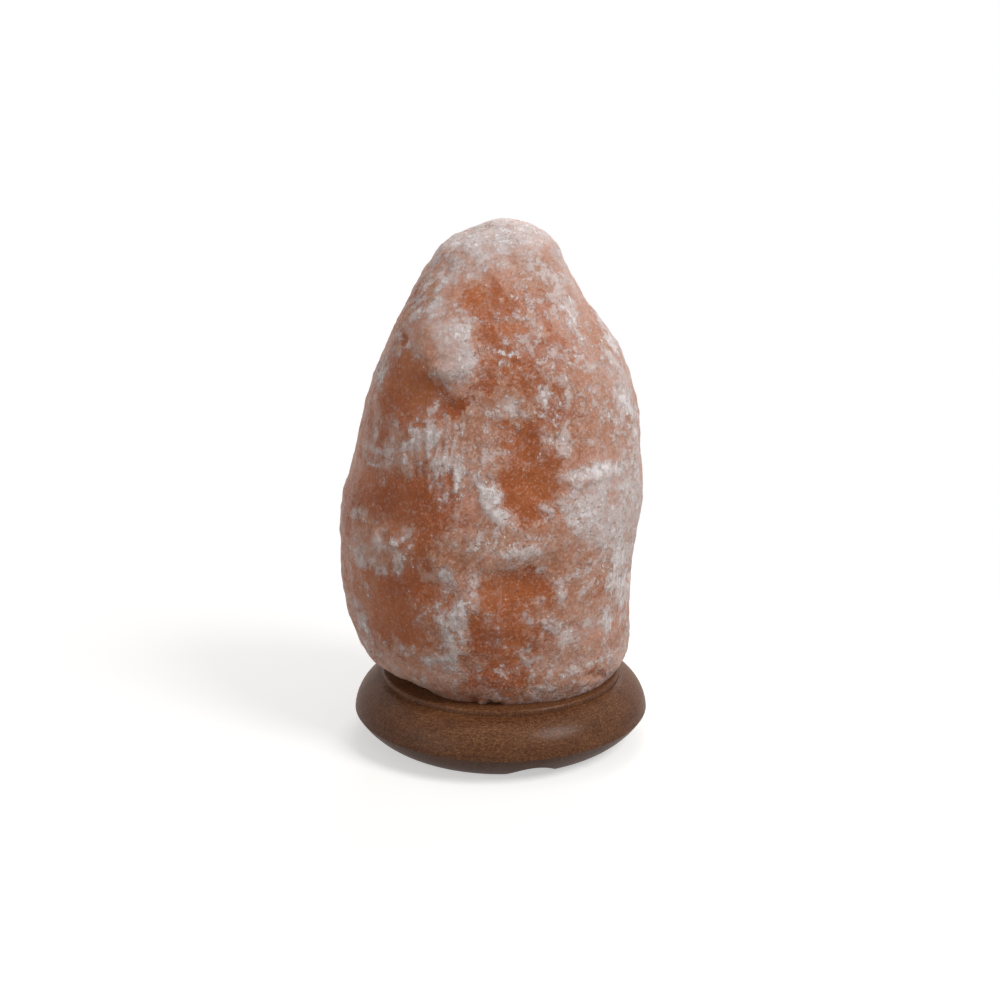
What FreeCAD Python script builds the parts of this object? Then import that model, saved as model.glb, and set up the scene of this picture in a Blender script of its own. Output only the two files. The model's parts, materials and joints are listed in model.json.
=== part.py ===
import FreeCAD
import Part

import math
import os
import re

import Sketcher

# Salt crystal lamp: a hewn crystal on a turned wooden base, lit from inside by a small screw-cap bulb.
# Millimetres. Z is up, the origin is the centre of the foot ring on the table, the front faces -Y.
# The bulb's fitting stands in the crystal's bore and grips it with two springs.

SIZES = {
    # wooden base, one turned piece with a foot ring
    "base_height": 28.5,
    "foot_radius": 49.0,
    "rim_radius": 62.2,
    "rim_height": 11.5,
    "undercut_bulge": 1.3,
    "shoulder_radius": 52.6,
    "shoulder_height": 25.3,
    "shoulder_bulge": 2.2,
    "step_radius": 50.6,
    "step_height": 25.9,
    "top_edge_round": 1.4,
    "opening_margin": 1.0,
    "recess_ledge": 6.0,
    "recess_depth": 14.0,
    # cord notch through the foot ring, turned from the front towards +X
    "notch_angle": 14.0,
    "notch_width": 22.0,
    "notch_height": 6.0,
    # how closely the crystal's skin is drawn, and the radius at which its forms' widths are measured
    "crystal_columns": 24,
    "crystal_step": 10.0,
    "form_radius": 55.0,
    # bore up the middle of the crystal
    "bore_radius": 24.0,
    "bore_headroom": 12.0,
    "bore_end_round": 6.0,
    # screws and wall plugs that hold the crystal on the base
    "anchor_count": 3,
    "anchor_offset": 6.0,
    "anchor_sink": 8.0,
    "anchor_head_radius": 4.0,
    "anchor_head_height": 2.3,
    "anchor_slot_width": 1.0,
    "anchor_slot_depth": 1.2,
    "anchor_radius": 2.0,
    "anchor_length": 40.0,
    "anchor_point_length": 4.0,
    "anchor_clearance": 0.2,
    "plug_radius": 4.0,
    "plug_length": 25.0,
    "plug_inset": 1.0,
    "plug_hole_spare": 2.0,
    "plug_clearance": 0.05,
    # sheet steel plate that carries the fitting
    "plate_clearance": 0.5,
    "plate_thickness": 1.2,
    "plate_rim_depth": 3.0,
    "plate_edge_round": 0.8,
    # spring clips, bent from steel strip
    "clip_width": 8.0,
    "clip_thickness": 0.5,
    "clip_foot_inset": 2.4,
    "clip_foot_length": 5.2,
    "clip_shin_inset": 1.8,
    "clip_shin_height": 16.0,
    "clip_grip_height": 23.5,
    "clip_gap": 0.2,
    "clip_tip_inset": 5.5,
    "clip_tip_height": 40.5,
    "clip_bow": 0.4,
    "clip_rivet_radius": 1.5,
    "clip_rivet_head_radius": 2.1,
    "clip_rivet_head_height": 0.9,
    "clip_rivet_gap": 0.2,
    "rivet_clearance": 0.05,
    # hollow threaded nipple, its washer and nut, and the bush that the cord enters through
    "nipple_radius": 5.0,
    "nipple_wall": 1.0,
    "nipple_drop": 7.5,
    "nipple_rise": 7.0,
    "nipple_chamfer": 0.5,
    "nipple_clearance": 0.05,
    "washer_width": 3.4,
    "washer_thickness": 0.8,
    "washer_slot_width": 1.2,
    "washer_slot_depth": 1.6,
    "washer_slot_count": 8,
    "nut_wall": 2.0,
    "nut_height": 3.0,
    "bush_flange_width": 1.2,
    "bush_flange_height": 1.0,
    "bush_wall": 0.75,
    "bush_length": 9.0,
    # lampholder: cap, core and shell moulded in phenolic
    "cap_height": 20.0,
    "cap_foot_inset": 2.9,
    "cap_foot_height": 5.0,
    "cap_foot_bulge": 0.8,
    "cap_collar_height": 9.5,
    "cap_neck_radius": 12.0,
    "cap_wall": 1.8,
    "cap_floor": 6.0,
    "core_height": 5.0,
    "core_clearance": 0.1,
    "shell_wall": 1.25,
    "shell_fit": 0.15,
    "shell_seat_gap": 0.2,
    "shell_skirt_height": 20.8,
    "shell_shoulder_height": 6.0,
    "shell_neck_height": 10.2,
    "shell_neck_wall": 3.1,
    "shell_mouth_gap": 0.35,
    "shell_lip_round": 0.5,
    # screw shell and contacts inside the lampholder
    "thread_pitch": 2.822,
    "thread_play": 0.25,
    "thread_shell_wall": 0.4,
    "thread_shell_height": 19.0,
    "thread_rib_width": 1.5,
    "thread_rib_root": 0.1,
    "contact_width": 3.0,
    "contact_thickness": 0.4,
    "contact_foot_start": 4.2,
    "contact_foot_end": 2.0,
    "contact_rise": 2.4,
    "contact_tip_reach": 2.0,
    "contact_curl": 0.8,
    "contact_gap": 0.35,
    "contact_rivet_radius": 0.6,
    "contact_rivet_head_radius": 0.95,
    "contact_rivet_head_height": 0.5,
    "terminal_place": 4.9,
    "terminal_width": 5.2,
    "terminal_depth": 6.0,
    "terminal_height": 8.0,
    "terminal_wire_radius": 1.1,
    "terminal_wire_depth": 6.0,
    "terminal_screw_rise": 4.0,
    "terminal_screw_radius": 1.25,
    "terminal_screw_clearance": 0.05,
    "terminal_screw_gap": 0.3,
    "terminal_screw_head_radius": 2.2,
    "terminal_screw_head_height": 1.4,
    "terminal_screw_slot_width": 0.6,
    "terminal_screw_slot_depth": 0.6,
    # bulb
    "bulb_gap": 0.1,
    "bulb_screw_turns": 3.5,
    "bulb_radius": 11.5,
    "bulb_glass": 0.6,
    "bulb_neck_radius": 5.6,
    "bulb_neck_start": 19.0,
    "bulb_neck_end": 24.5,
    "bulb_swell_end": 35.5,
    "bulb_straight": 7.0,
    "bulb_swell_bulge": 1.2,
    "bulb_cap_radius": 6.05,
    "bulb_cap_wall": 0.25,
    "bulb_cap_start": 3.7,
    "bulb_cap_lip": 0.8,
    "bulb_cap_end": 20.0,
    "bulb_skirt_radius": 8.2,
    "bulb_skirt_height": 3.0,
    "bulb_rib": 0.85,
    "bulb_rib_start": 6.2,
    "bulb_rib_length": 10.0,
    "bulb_contact_radius": 2.2,
    "bulb_contact_height": 1.0,
    "insulator_radius": 3.2,
    "insulator_height": 4.0,
    "insulator_clearance": 0.1,
    "lead_hole_radius": 0.5,
    "stem_flare_radius": 4.95,
    "stem_flare_wall": 0.8,
    "stem_flare_start": 19.2,
    "stem_waist_start": 25.0,
    "stem_end": 32.0,
    "stem_radius": 2.3,
    "lead_radius": 0.3,
    "lead_start": 5.5,
    "lead_bend_start": 33.5,
    "lead_place": 1.15,
    "lead_clearance": 0.1,
    "lead_spread": 4.6,
    "lead_end": 42.0,
    "filament_radius": 0.4,
    "filament_rise": 2.4,
    "filament_gap": 0.05,
}

# The crystal's sections from its sawn foot up. Each has its height over the foot, and how far the
# stone reaches from the lamp's axis to the right, front right, front, front left, left, back left,
# back and back right.
DIRECTIONS = ("right", "front_right", "front", "front_left", "left", "back_left", "back", "back_right")
SECTIONS = {
    "foot": (0, 49, 47, 44, 45, 45, 45, 43, 47),
    "heel": (6, 53, 51, 48, 52, 54, 51.5, 48, 51),
    "hip": (20, 54.5, 54, 51, 57.5, 62.5, 58, 51, 53),
    "thigh": (38, 55, 55, 54, 60, 67.5, 60, 52, 53),
    "belly": (58, 57, 56, 54, 61, 67.5, 61, 53, 56),
    "waist": (78, 59, 57, 53, 60, 65.5, 58, 52, 57),
    "ribs": (98, 58, 55, 50, 56, 60, 55, 50, 55),
    "chest": (118, 55.5, 51, 46, 53, 55, 50, 46, 50),
    "shoulder": (138, 48.5, 45, 42, 49, 47.5, 43, 41, 44),
    "neck": (156, 35.5, 35, 35, 41, 39, 35, 33, 33),
    "crown": (172, 26, 26, 25, 29, 29, 27, 25, 24),
    "brow": (184, 19, 18, 15, 17, 17.5, 17, 15, 16),
    "tip": (190.5, 9, 7, 4, 2, 1.2, 2, 4, 6),
}
for section, measures in SECTIONS.items():
    SIZES["crystal_%s_height" % section] = measures[0]
    for direction, reach in zip(DIRECTIONS, measures[1:]):
        SIZES["crystal_%s_%s" % (section, direction)] = reach

# Hollows and swells that lie over those sections. Each has its middle's angle from the front towards
# the right and its height over the foot, half its width and half its height, the angle by which it
# leans to the right, and how far it stands out, below zero where it goes in.
FORM_MEASURES = ("angle", "height", "half_width", "half_height", "lean_angle", "rise")
FORMS = {
    "brow": (-33, 146.5, 13, 9, 10, 2),
    "brow_hollow": (-36, 127.5, 17, 8, -12, -3.4),
    "crown_dish": (-18, 166.5, 13, 7, 0, -1),
    "middle_dish": (12, 92, 12, 15, 0, -1.9),
    "ledge": (4, 66, 14, 5, 0, 1.6),
    "ledge_hollow": (5, 53, 12, 8, 0, -2.2),
    "left_dish": (-46, 80, 16, 9, -6, -1.5),
    "low_left_dish": (-27, 51, 9, 8, 0, -1.3),
    "heel_lift": (-55, 0.5, 22, 6, -4, -3.2),
    "back_hollow": (150, 121.5, 20, 10, 8, -2.8),
    "back_ledge": (178, 90, 15, 6, 6, 1.5),
    "back_dish": (205, 66, 16, 12, -10, -2),
    "right_back_dish": (112, 84, 13, 11, 0, -1.6),
    "left_back_dish": (246, 100, 13, 10, 10, -1.6),
    "low_back_dish": (238, 32, 14, 9, 0, -1.6),
}
for form, measures in FORMS.items():
    for measure, value in zip(FORM_MEASURES, measures):
        SIZES["%s_%s" % (form, measure)] = value

# Places that several pieces share, worked out from the sizes.
PLACES = {
    "top_radius": "step_radius - top_edge_round",
    "opening_radius": "bore_radius + opening_margin",
    "recess_radius": "opening_radius + recess_ledge",
    "bore_top": "bulb_top + bulb_screw_turns * thread_pitch + bore_headroom",
    "anchor_circle_radius": "recess_radius + anchor_offset",
    "anchor_tip": "anchor_sink + anchor_length",
    "plug_start": "base_height + plug_inset",
    "plug_end": "plug_start + plug_length",
    "anchor_hole_radius": "anchor_radius + anchor_clearance",
    "plate_radius": "recess_radius - plate_clearance",
    "plate_underside": "recess_depth - plate_thickness",
    "nipple_hole_radius": "nipple_radius + nipple_clearance",
    "nipple_bore_radius": "nipple_radius - nipple_wall",
    "nipple_bottom": "recess_depth - nipple_drop",
    "nipple_top": "recess_depth + nipple_rise",
    "washer_radius": "nipple_hole_radius + washer_width",
    "washer_underside": "plate_underside - washer_thickness",
    "nut_across_flats": "2 * (nipple_radius + nut_wall)",
    "nut_underside": "washer_underside - nut_height",
    "bush_bottom": "nipple_bottom - bush_flange_height",
    "bush_radius": "nipple_radius + bush_flange_width",
    "bush_bore_radius": "nipple_bore_radius - nipple_clearance - bush_wall",
    "clip_foot_end": "bore_radius - clip_foot_inset",
    "clip_foot_start": "clip_foot_end - clip_foot_length",
    "clip_top_of_foot": "recess_depth + clip_thickness",
    "clip_shin_reach": "bore_radius - clip_shin_inset",
    "clip_reach": "sqrt(bore_radius ^ 2 - clip_width ^ 2 / 4) - clip_gap",
    "clip_tip_reach": "bore_radius - clip_tip_inset",
    "clip_rivet_place": "clip_foot_end - clip_thickness - clip_rivet_head_radius - clip_rivet_gap",
    "cap_radius": "cap_neck_radius + shell_fit + shell_wall",
    "cap_foot_radius": "cap_radius - cap_foot_inset",
    "cap_top": "recess_depth + cap_height",
    "cap_collar_top": "recess_depth + cap_collar_height",
    "cap_inner_radius": "cap_neck_radius - cap_wall",
    "core_top": "cap_top + core_height",
    "shell_bottom": "cap_collar_top + shell_seat_gap",
    "shell_shoulder": "shell_bottom + shell_skirt_height",
    "shell_neck": "shell_shoulder + shell_shoulder_height",
    "shell_top": "shell_neck + shell_neck_height",
    "shell_inner_radius": "cap_neck_radius + shell_fit",
    "shell_mouth_radius": "thread_shell_radius + shell_mouth_gap",
    "shell_neck_radius": "shell_mouth_radius + shell_neck_wall",
    "thread_radius": "bulb_cap_radius + bulb_rib + thread_play",
    "thread_shell_radius": "thread_radius + thread_shell_wall",
    "thread_shell_hole": "sqrt(contact_foot_start ^ 2 + contact_width ^ 2 / 4) + contact_gap",
    "flange_top": "core_top + thread_shell_wall",
    "contact_rivet_left": "(contact_foot_start + contact_foot_end) / 2",
    "contact_rivet_right": "(thread_shell_hole + thread_radius) / 2",
    "contact_top": "core_top + contact_rise",
    "terminal_bottom": "cap_top - terminal_height",
    "terminal_face": "terminal_place + terminal_width / 2",
    "terminal_screw_axis": "terminal_bottom + terminal_screw_rise",
    "bulb_tip": "contact_top + bulb_gap",
    "bulb_dome_start": "bulb_tip + bulb_swell_end + bulb_straight",
    "bulb_top": "bulb_dome_start + bulb_radius",
    "insulator_bottom": "bulb_tip + bulb_contact_height",
    "bulb_bore_radius": "bulb_radius - bulb_glass",
    "bulb_neck_bore": "bulb_neck_radius - bulb_glass",
    "bulb_cap_bore": "bulb_cap_radius - bulb_cap_wall",
    "lead_tip": "bulb_tip + lead_end",
}

doc = FreeCAD.newDocument("salt_crystal_lamp")
sheet = doc.addObject("Spreadsheet::Sheet", "Sizes")
for row, (name, value) in enumerate(SIZES.items(), start=1):
    sheet.set("A%d" % row, name.replace("_", " "))
    sheet.set("B%d" % row, str(value))
    sheet.setAlias("B%d" % row, name)
doc.recompute()


def bound(expression):
    """Rewrite an expression over the names above so that it reads the sheet's cells."""
    def cell(match):
        name = match.group()
        if name in SIZES:
            return "Sizes." + name
        if name in PLACES:
            return "(" + bound(PLACES[name]) + ")"
        return name
    return re.sub(r"[a-z][a-z_]*", cell, str(expression))


def value_of(expression):
    """The present value of an expression over the names above, as a plain number."""
    return float(sheet.evalExpression(bound(expression)))


def new_body(name, turn=0):
    """A sub-part, turned about the lamp's axis by that many degrees."""
    body = doc.addObject("PartDesign::Body", name)
    body.Placement = FreeCAD.Placement(FreeCAD.Vector(), FreeCAD.Rotation(FreeCAD.Vector(0, 0, 1), turn))
    return body


def origin_part(body, role):
    return next(part for part in body.Origin.OriginFeatures if part.Role == role)


def new_sketch(body, plane="XZ_Plane", along="0", up="0", out="0", turn="0"):
    """A sketch on an origin plane, moved along and up in that plane and out of it.

    On the XZ plane the sketch's x is X, its y is Z, and turn swings it about the lamp's axis.
    """
    sketch = body.newObject("Sketcher::SketchObject", body.Name + "_sketch")
    sketch.AttachmentSupport = [(origin_part(body, plane), "")]
    sketch.MapMode = "FlatFace"
    upright = FreeCAD.Vector(0, 1, 0)
    swing = FreeCAD.Rotation(upright, value_of(turn))
    shift = FreeCAD.Vector(value_of(along), value_of(up), value_of(out))
    sketch.AttachmentOffset = FreeCAD.Placement(shift, swing)
    for axis, amount in zip("xyz", (along, up, out)):
        if amount != "0":
            sketch.setExpression(".AttachmentOffset.Base." + axis, bound(amount))
    if turn != "0":
        sketch.setExpression(".AttachmentOffset.Rotation.Angle", bound(turn))
    return sketch


def bind(sketch, constraint, expression):
    number = sketch.addConstraint(constraint)
    sketch.setExpression("Constraints[%d]" % number, bound(expression))


def side_of(start, end, bulge):
    """A straight side, or an arc that stands proud of it by bulge, to the right of the way it runs."""
    if not bulge:
        return Part.LineSegment(start, end)
    run = end - start
    outward = FreeCAD.Vector(run.y, -run.x, 0).normalize()
    return Part.Arc(start, (start + end) / 2 + outward * bulge, end)


def draw(sketch, corners, closed=True):
    """Draw an outline through corners (x, y) or (x, y, bulge), all expressions.

    A bulge makes the side that leaves its corner an arc, outwards where the outline runs
    anticlockwise. Every corner is held by its two distances from the sketch's origin.
    """
    points = [FreeCAD.Vector(value_of(corner[0]), value_of(corner[1]), 0) for corner in corners]
    count = len(corners) if closed else len(corners) - 1
    sides = []
    for this in range(count):
        following = (this + 1) % len(corners)
        bulge = corners[this][2] if len(corners[this]) > 2 else None
        shape = side_of(points[this], points[following], value_of(bulge) if bulge else 0)
        side = sketch.addGeometry(shape, False)
        forward = sketch.getPoint(side, 1).distanceToPoint(points[this]) < 1e-6
        sides.append((side, 1, 2) if forward else (side, 2, 1))
        if bulge:
            chord = "((%s) - (%s)) ^ 2 + ((%s) - (%s)) ^ 2" % (
                corners[following][0], corners[this][0], corners[following][1], corners[this][1])
            radius = "(%s) / (8 * abs(%s)) + abs(%s) / 2" % (chord, bulge, bulge)
            bind(sketch, Sketcher.Constraint("Radius", side, value_of(radius)), radius)
    for this in range(count):
        side, begin, end = sides[this]
        hold(sketch, side, begin, corners[this])
        if closed or this + 1 < count:
            after = sides[(this + 1) % len(sides)]
            sketch.addConstraint(Sketcher.Constraint("Coincident", side, end, after[0], after[1]))
        else:
            hold(sketch, side, end, corners[-1])
    return sides


def hold(sketch, side, end, corner):
    """Hold one end of a side at its distances from the sketch's origin."""
    for kind, place, axis in (("DistanceX", corner[0], -2), ("DistanceY", corner[1], -1)):
        if str(place) == "0":
            sketch.addConstraint(Sketcher.Constraint("PointOnObject", side, end, axis))
        else:
            bind(sketch, Sketcher.Constraint(kind, -1, 1, side, end, value_of(place)), place)


def circle(sketch, along, up, radius):
    middle = FreeCAD.Vector(value_of(along), value_of(up), 0)
    ring = Part.Circle(middle, FreeCAD.Vector(0, 0, 1), value_of(radius))
    number = sketch.addGeometry(ring, False)
    bind(sketch, Sketcher.Constraint("Radius", number, value_of(radius)), radius)
    hold(sketch, number, 3, (along, up))


def turned(body, corners, along="0", up="0", plane="XZ_Plane", axis="V_Axis", cut=False):
    """Turn a half section about the sketch's own axis, as on a lathe, or cut that form away."""
    sketch = new_sketch(body, plane, along, up)
    draw(sketch, corners)
    feature = body.newObject("PartDesign::" + ("Groove" if cut else "Revolution"), body.Name + "_turned")
    feature.Profile = sketch
    feature.ReferenceAxis = (sketch, [axis])
    feature.Angle = 360
    return feature


def pad(body, sketch, length, midplane=False):
    feature = body.newObject("PartDesign::Pad", body.Name + "_pad")
    feature.Profile = sketch
    feature.Midplane = midplane
    feature.setExpression("Length", bound(length))
    return feature


def pocket(body, sketch, length, midplane=False, reverse=False):
    feature = body.newObject("PartDesign::Pocket", body.Name + "_pocket")
    feature.Profile = sketch
    feature.Midplane = midplane
    feature.Reversed = reverse
    feature.setExpression("Length", bound(length))
    return feature


def around(body, features, count):
    """Repeat features evenly about the lamp's axis."""
    pattern = body.newObject("PartDesign::PolarPattern", body.Name + "_pattern")
    pattern.Originals = features
    pattern.Axis = (origin_part(body, "Z_Axis"), [""])
    pattern.Angle = 360
    pattern.setExpression("Occurrences", bound(count))
    body.Tip = pattern
    return pattern


def thread_rib(body, root_radius, crest_radius, start, length):
    """A rounded right-hand rib, wound from the XZ plane at the start height."""
    doc.recompute()
    sketch = new_sketch(body)
    half = "thread_rib_width / 2"
    bulge = "%s - (%s)" % (crest_radius, root_radius)
    draw(sketch, [(root_radius, "%s - %s" % (start, half), bulge), (root_radius, "%s + %s" % (start, half))])
    rib = body.newObject("PartDesign::AdditiveHelix", body.Name + "_rib")
    rib.Profile = sketch
    rib.ReferenceAxis = (sketch, ["V_Axis"])
    rib.Mode = 0
    rib.setExpression("Pitch", bound("thread_pitch"))
    rib.setExpression("Height", bound(length))
    return rib


def wire(body, corners, radius):
    """A round wire along a path in the XZ plane, square to its first run."""
    path = new_sketch(body)
    draw(path, corners, closed=False)
    section = new_sketch(body, "XY_Plane", along=corners[0][0], out=corners[0][1])
    circle(section, "0", "0", radius)
    doc.recompute()
    pipe = body.newObject("PartDesign::AdditivePipe", body.Name + "_wire")
    pipe.Profile = section
    pipe.Spine = path
    pipe.Transition = "Round corner"
    return pipe


# ---- stone and base ----

def make_wooden_base():
    """Turned from one blank: foot ring, hollow underside, sharp rim, stepped top disc."""
    body = new_body("wooden_base")
    turned(body, [
        ("recess_radius", "0"),
        ("foot_radius", "0", "undercut_bulge"),
        ("rim_radius", "rim_height", "shoulder_bulge"),
        ("shoulder_radius", "shoulder_height"),
        ("step_radius", "step_height"),
        ("step_radius", "base_height - top_edge_round", "top_edge_round * (1 - sqrt(2) / 2)"),
        ("top_radius", "base_height"),
        ("opening_radius", "base_height"),
        ("opening_radius", "recess_depth"),
        ("recess_radius", "recess_depth"),
    ])
    notch = new_sketch(body, turn="notch_angle")
    draw(notch, [
        ("-notch_width / 2", "-notch_height"),
        ("notch_width / 2", "-notch_height"),
        ("notch_width / 2", "0", "notch_height"),
        ("-notch_width / 2", "0"),
    ])
    pocket(body, notch, "rim_radius", reverse=True)
    hole = turned(body, [
        ("0", "0"),
        ("anchor_head_radius + anchor_clearance", "0"),
        ("anchor_head_radius + anchor_clearance", "anchor_sink"),
        ("anchor_hole_radius", "anchor_sink + anchor_head_height"),
        ("anchor_hole_radius", "base_height + anchor_clearance"),
        ("0", "base_height + anchor_clearance"),
    ], along="anchor_circle_radius", cut=True)
    around(body, [hole], "anchor_count")


def slope_at(places, values, this):
    """The slope that a smooth curve through the values has at one of them."""
    stretches = [n for n in (this - 1, this) if 0 <= n < len(places) - 1]
    spans = [places[n + 1] - places[n] for n in stretches]
    slopes = [(values[n + 1] - values[n]) / span for n, span in zip(stretches, spans)]
    if len(slopes) == 1:
        return slopes[0]
    return (slopes[0] * spans[1] + slopes[1] * spans[0]) / (spans[0] + spans[1])


def eased(places, values, at):
    """A smooth curve through values at their places: a cubic a stretch, with one slope where two meet."""
    this = max((n for n in range(len(places) - 1) if places[n] <= at), default=0)
    span = places[this + 1] - places[this]
    share = (at - places[this]) / span
    return (
        (1 + 2 * share) * (1 - share) ** 2 * values[this]
        + share ** 2 * (3 - 2 * share) * values[this + 1]
        + share * (1 - share) ** 2 * span * slope_at(places, values, this)
        - share ** 2 * (1 - share) * span * slope_at(places, values, this + 1))


def form_rise(forms, turn, height):
    """How far the forms move the skin at one place: each fades from its middle by exp(-d ^ 3)."""
    radius = value_of("form_radius")
    total = 0
    for middle, level, half_width, half_height, lean, rise in forms:
        aside = math.radians((turn - middle + 180) % 360 - 180) * radius
        above = height - level
        tilt = math.radians(lean)
        across = (aside * math.cos(tilt) - above * math.sin(tilt)) / half_width
        along = (aside * math.sin(tilt) + above * math.cos(tilt)) / half_height
        total += rise * math.exp(-math.hypot(across, along) ** 3)
    return total


def crystal_curve(turns, reaches, height):
    """A closed smooth curve through the reaches at one height over the foot, evenly paced round the stone."""
    level = value_of("base_height") + height
    points = [
        FreeCAD.Vector(reach * math.sin(math.radians(turn)), -reach * math.cos(math.radians(turn)), level)
        for turn, reach in zip(turns, reaches)]
    curve = Part.BSplineCurve()
    curve.interpolate(Points=points, PeriodicFlag=True, Parameters=[float(n) for n in range(len(points) + 1)])
    return Part.Wire(curve.toShape())


def even_levels(heights, means):
    """Heights that share out the run of the stone's mean outline evenly."""
    pieces = 400  # fine enough that the heights are right to half a millimetre
    fine = [heights[-1] * n / pieces for n in range(pieces + 1)]
    outline = [eased(heights, means, level) for level in fine]
    runs = [0]
    for n in range(pieces):
        runs.append(runs[-1] + math.hypot(fine[n + 1] - fine[n], outline[n + 1] - outline[n]))
    steps = math.ceil(runs[-1] / value_of("crystal_step"))
    levels = []
    for step in range(steps + 1):
        wanted = runs[-1] * step / steps
        levels.append(min(zip(runs, fine), key=lambda pair: abs(pair[0] - wanted))[1])
    return levels


def crystal_curves():
    """The stone's outline at rising heights: the sections eased round and up, and the forms over them."""
    forms = [[value_of("%s_%s" % (form, measure)) for measure in FORM_MEASURES] for form in FORMS]
    columns = int(value_of("crystal_columns"))
    right = 90  # degrees from the front, where the directions and the columns start
    turns = [right - 360 * column / columns for column in range(columns)]
    heights = [value_of("crystal_%s_height" % section) for section in SECTIONS]
    spread = 360 / len(DIRECTIONS)
    places = [spread * n for n in range(-2, len(DIRECTIONS) + 3)]
    rounds = []
    for section in SECTIONS:
        reaches = [value_of("crystal_%s_%s" % (section, direction)) for direction in DIRECTIONS]
        wrapped = reaches[-2:] + reaches + reaches[:3]
        rounds.append([eased(places, wrapped, right - turn) for turn in turns])
    curves = []
    for level in even_levels(heights, [sum(reaches) / columns for reaches in rounds]):
        reaches = [
            eased(heights, [reach[column] for reach in rounds], level) + form_rise(forms, turn, level)
            for column, turn in enumerate(turns)]
        curves.append(crystal_curve(turns, reaches, level))
    return curves


def make_salt_crystal():
    """A hewn stone, sawn flat underneath, with the bore for the fitting and the holes for the plugs."""
    stone = doc.addObject("Part::Feature", "crystal_stone")
    solid, ruled, closed, degree = True, False, False, 2  # a low degree keeps the skin from swinging
    stone.Shape = Part.makeLoft(crystal_curves(), solid, ruled, closed, degree)
    bore = doc.addObject("Part::Cylinder", "crystal_bore")
    bore.setExpression("Radius", bound("bore_radius"))
    bore.setExpression("Height", bound("bore_top - base_height + plug_inset"))
    bore.setExpression(".Placement.Base.z", bound("base_height - plug_inset"))
    doc.recompute()
    rounded = doc.addObject("Part::Fillet", "crystal_bore_rounded")
    rounded.Base = bore
    top_edge = max(range(len(bore.Shape.Edges)), key=lambda n: bore.Shape.Edges[n].CenterOfMass.z)
    round_size = min(value_of("bore_end_round"), 0.9 * value_of("bore_radius"))
    rounded.Edges = [(top_edge + 1, round_size, round_size)]
    tools = [rounded]
    for number in range(int(value_of("anchor_count"))):
        hole = doc.addObject("Part::Cylinder", "plug_hole")
        hole.setExpression("Radius", bound("plug_radius"))
        hole.setExpression("Height", bound("plug_length + 2 * plug_inset + plug_hole_spare"))
        turn = "(%d * 360 / anchor_count)" % number
        hole.setExpression(".Placement.Base.x", bound("anchor_circle_radius * cos(%s)" % turn))
        hole.setExpression(".Placement.Base.y", bound("anchor_circle_radius * sin(%s)" % turn))
        hole.setExpression(".Placement.Base.z", bound("base_height - plug_inset"))
        tools.append(hole)
    holes = doc.addObject("Part::MultiFuse", "crystal_holes")
    holes.Shapes = tools
    crystal = doc.addObject("Part::Cut", "salt_crystal")
    crystal.Base = stone
    crystal.Tool = holes


def make_anchor_plugs():
    """Nylon wall plugs, set in the stone."""
    body = new_body("anchor_plugs")
    plug = turned(body, [
        ("anchor_radius + plug_clearance", "plug_start"),
        ("plug_radius - plug_clearance", "plug_start"),
        ("plug_radius - plug_clearance", "plug_end - plug_radius / 2"),
        ("plug_radius * 0.7", "plug_end"),
        ("anchor_radius + plug_clearance", "plug_end"),
    ], along="anchor_circle_radius")
    around(body, [plug], "anchor_count")


def make_anchor_screws():
    """Countersunk wood screws, driven up through the base into the plugs."""
    body = new_body("anchor_screws")
    screw = turned(body, [
        ("0", "anchor_sink"),
        ("anchor_head_radius", "anchor_sink"),
        ("anchor_radius", "anchor_sink + anchor_head_height"),
        ("anchor_radius", "anchor_tip - anchor_point_length"),
        ("0", "anchor_tip"),
    ], along="anchor_circle_radius")
    slot = new_sketch(body, "XY_Plane", along="anchor_circle_radius", out="anchor_sink")
    draw(slot, rectangle("2 * anchor_head_radius + anchor_slot_width", "anchor_slot_width"))
    cut = pocket(body, slot, "anchor_slot_depth", reverse=True)
    around(body, [screw, cut], "anchor_count")


def rectangle(width, depth):
    """Corners of a rectangle about the sketch's origin."""
    east = "(%s) / 2" % width
    north = "(%s) / 2" % depth
    return [("-" + east, "-" + north), (east, "-" + north), (east, north), ("-" + east, north)]


# ---- plate, springs and cord inlet ----

def make_flange_plate():
    """Pressed steel plate with a turned-down rim, seated under the base's opening."""
    body = new_body("flange_plate")
    turned(body, [
        ("nipple_hole_radius", "plate_underside"),
        ("plate_radius - plate_thickness", "plate_underside"),
        ("plate_radius - plate_thickness", "recess_depth - plate_rim_depth"),
        ("plate_radius", "recess_depth - plate_rim_depth"),
        ("plate_radius", "recess_depth - plate_edge_round", "plate_edge_round * (1 - sqrt(2) / 2)"),
        ("plate_radius - plate_edge_round", "recess_depth"),
        ("nipple_hole_radius", "recess_depth"),
    ])
    holes = new_sketch(body, "XY_Plane", out="recess_depth")
    circle(holes, "clip_rivet_place", "0", "clip_rivet_radius + rivet_clearance")
    cut = pocket(body, holes, "2 * plate_thickness", midplane=True)
    around(body, [cut], "2")


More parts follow.
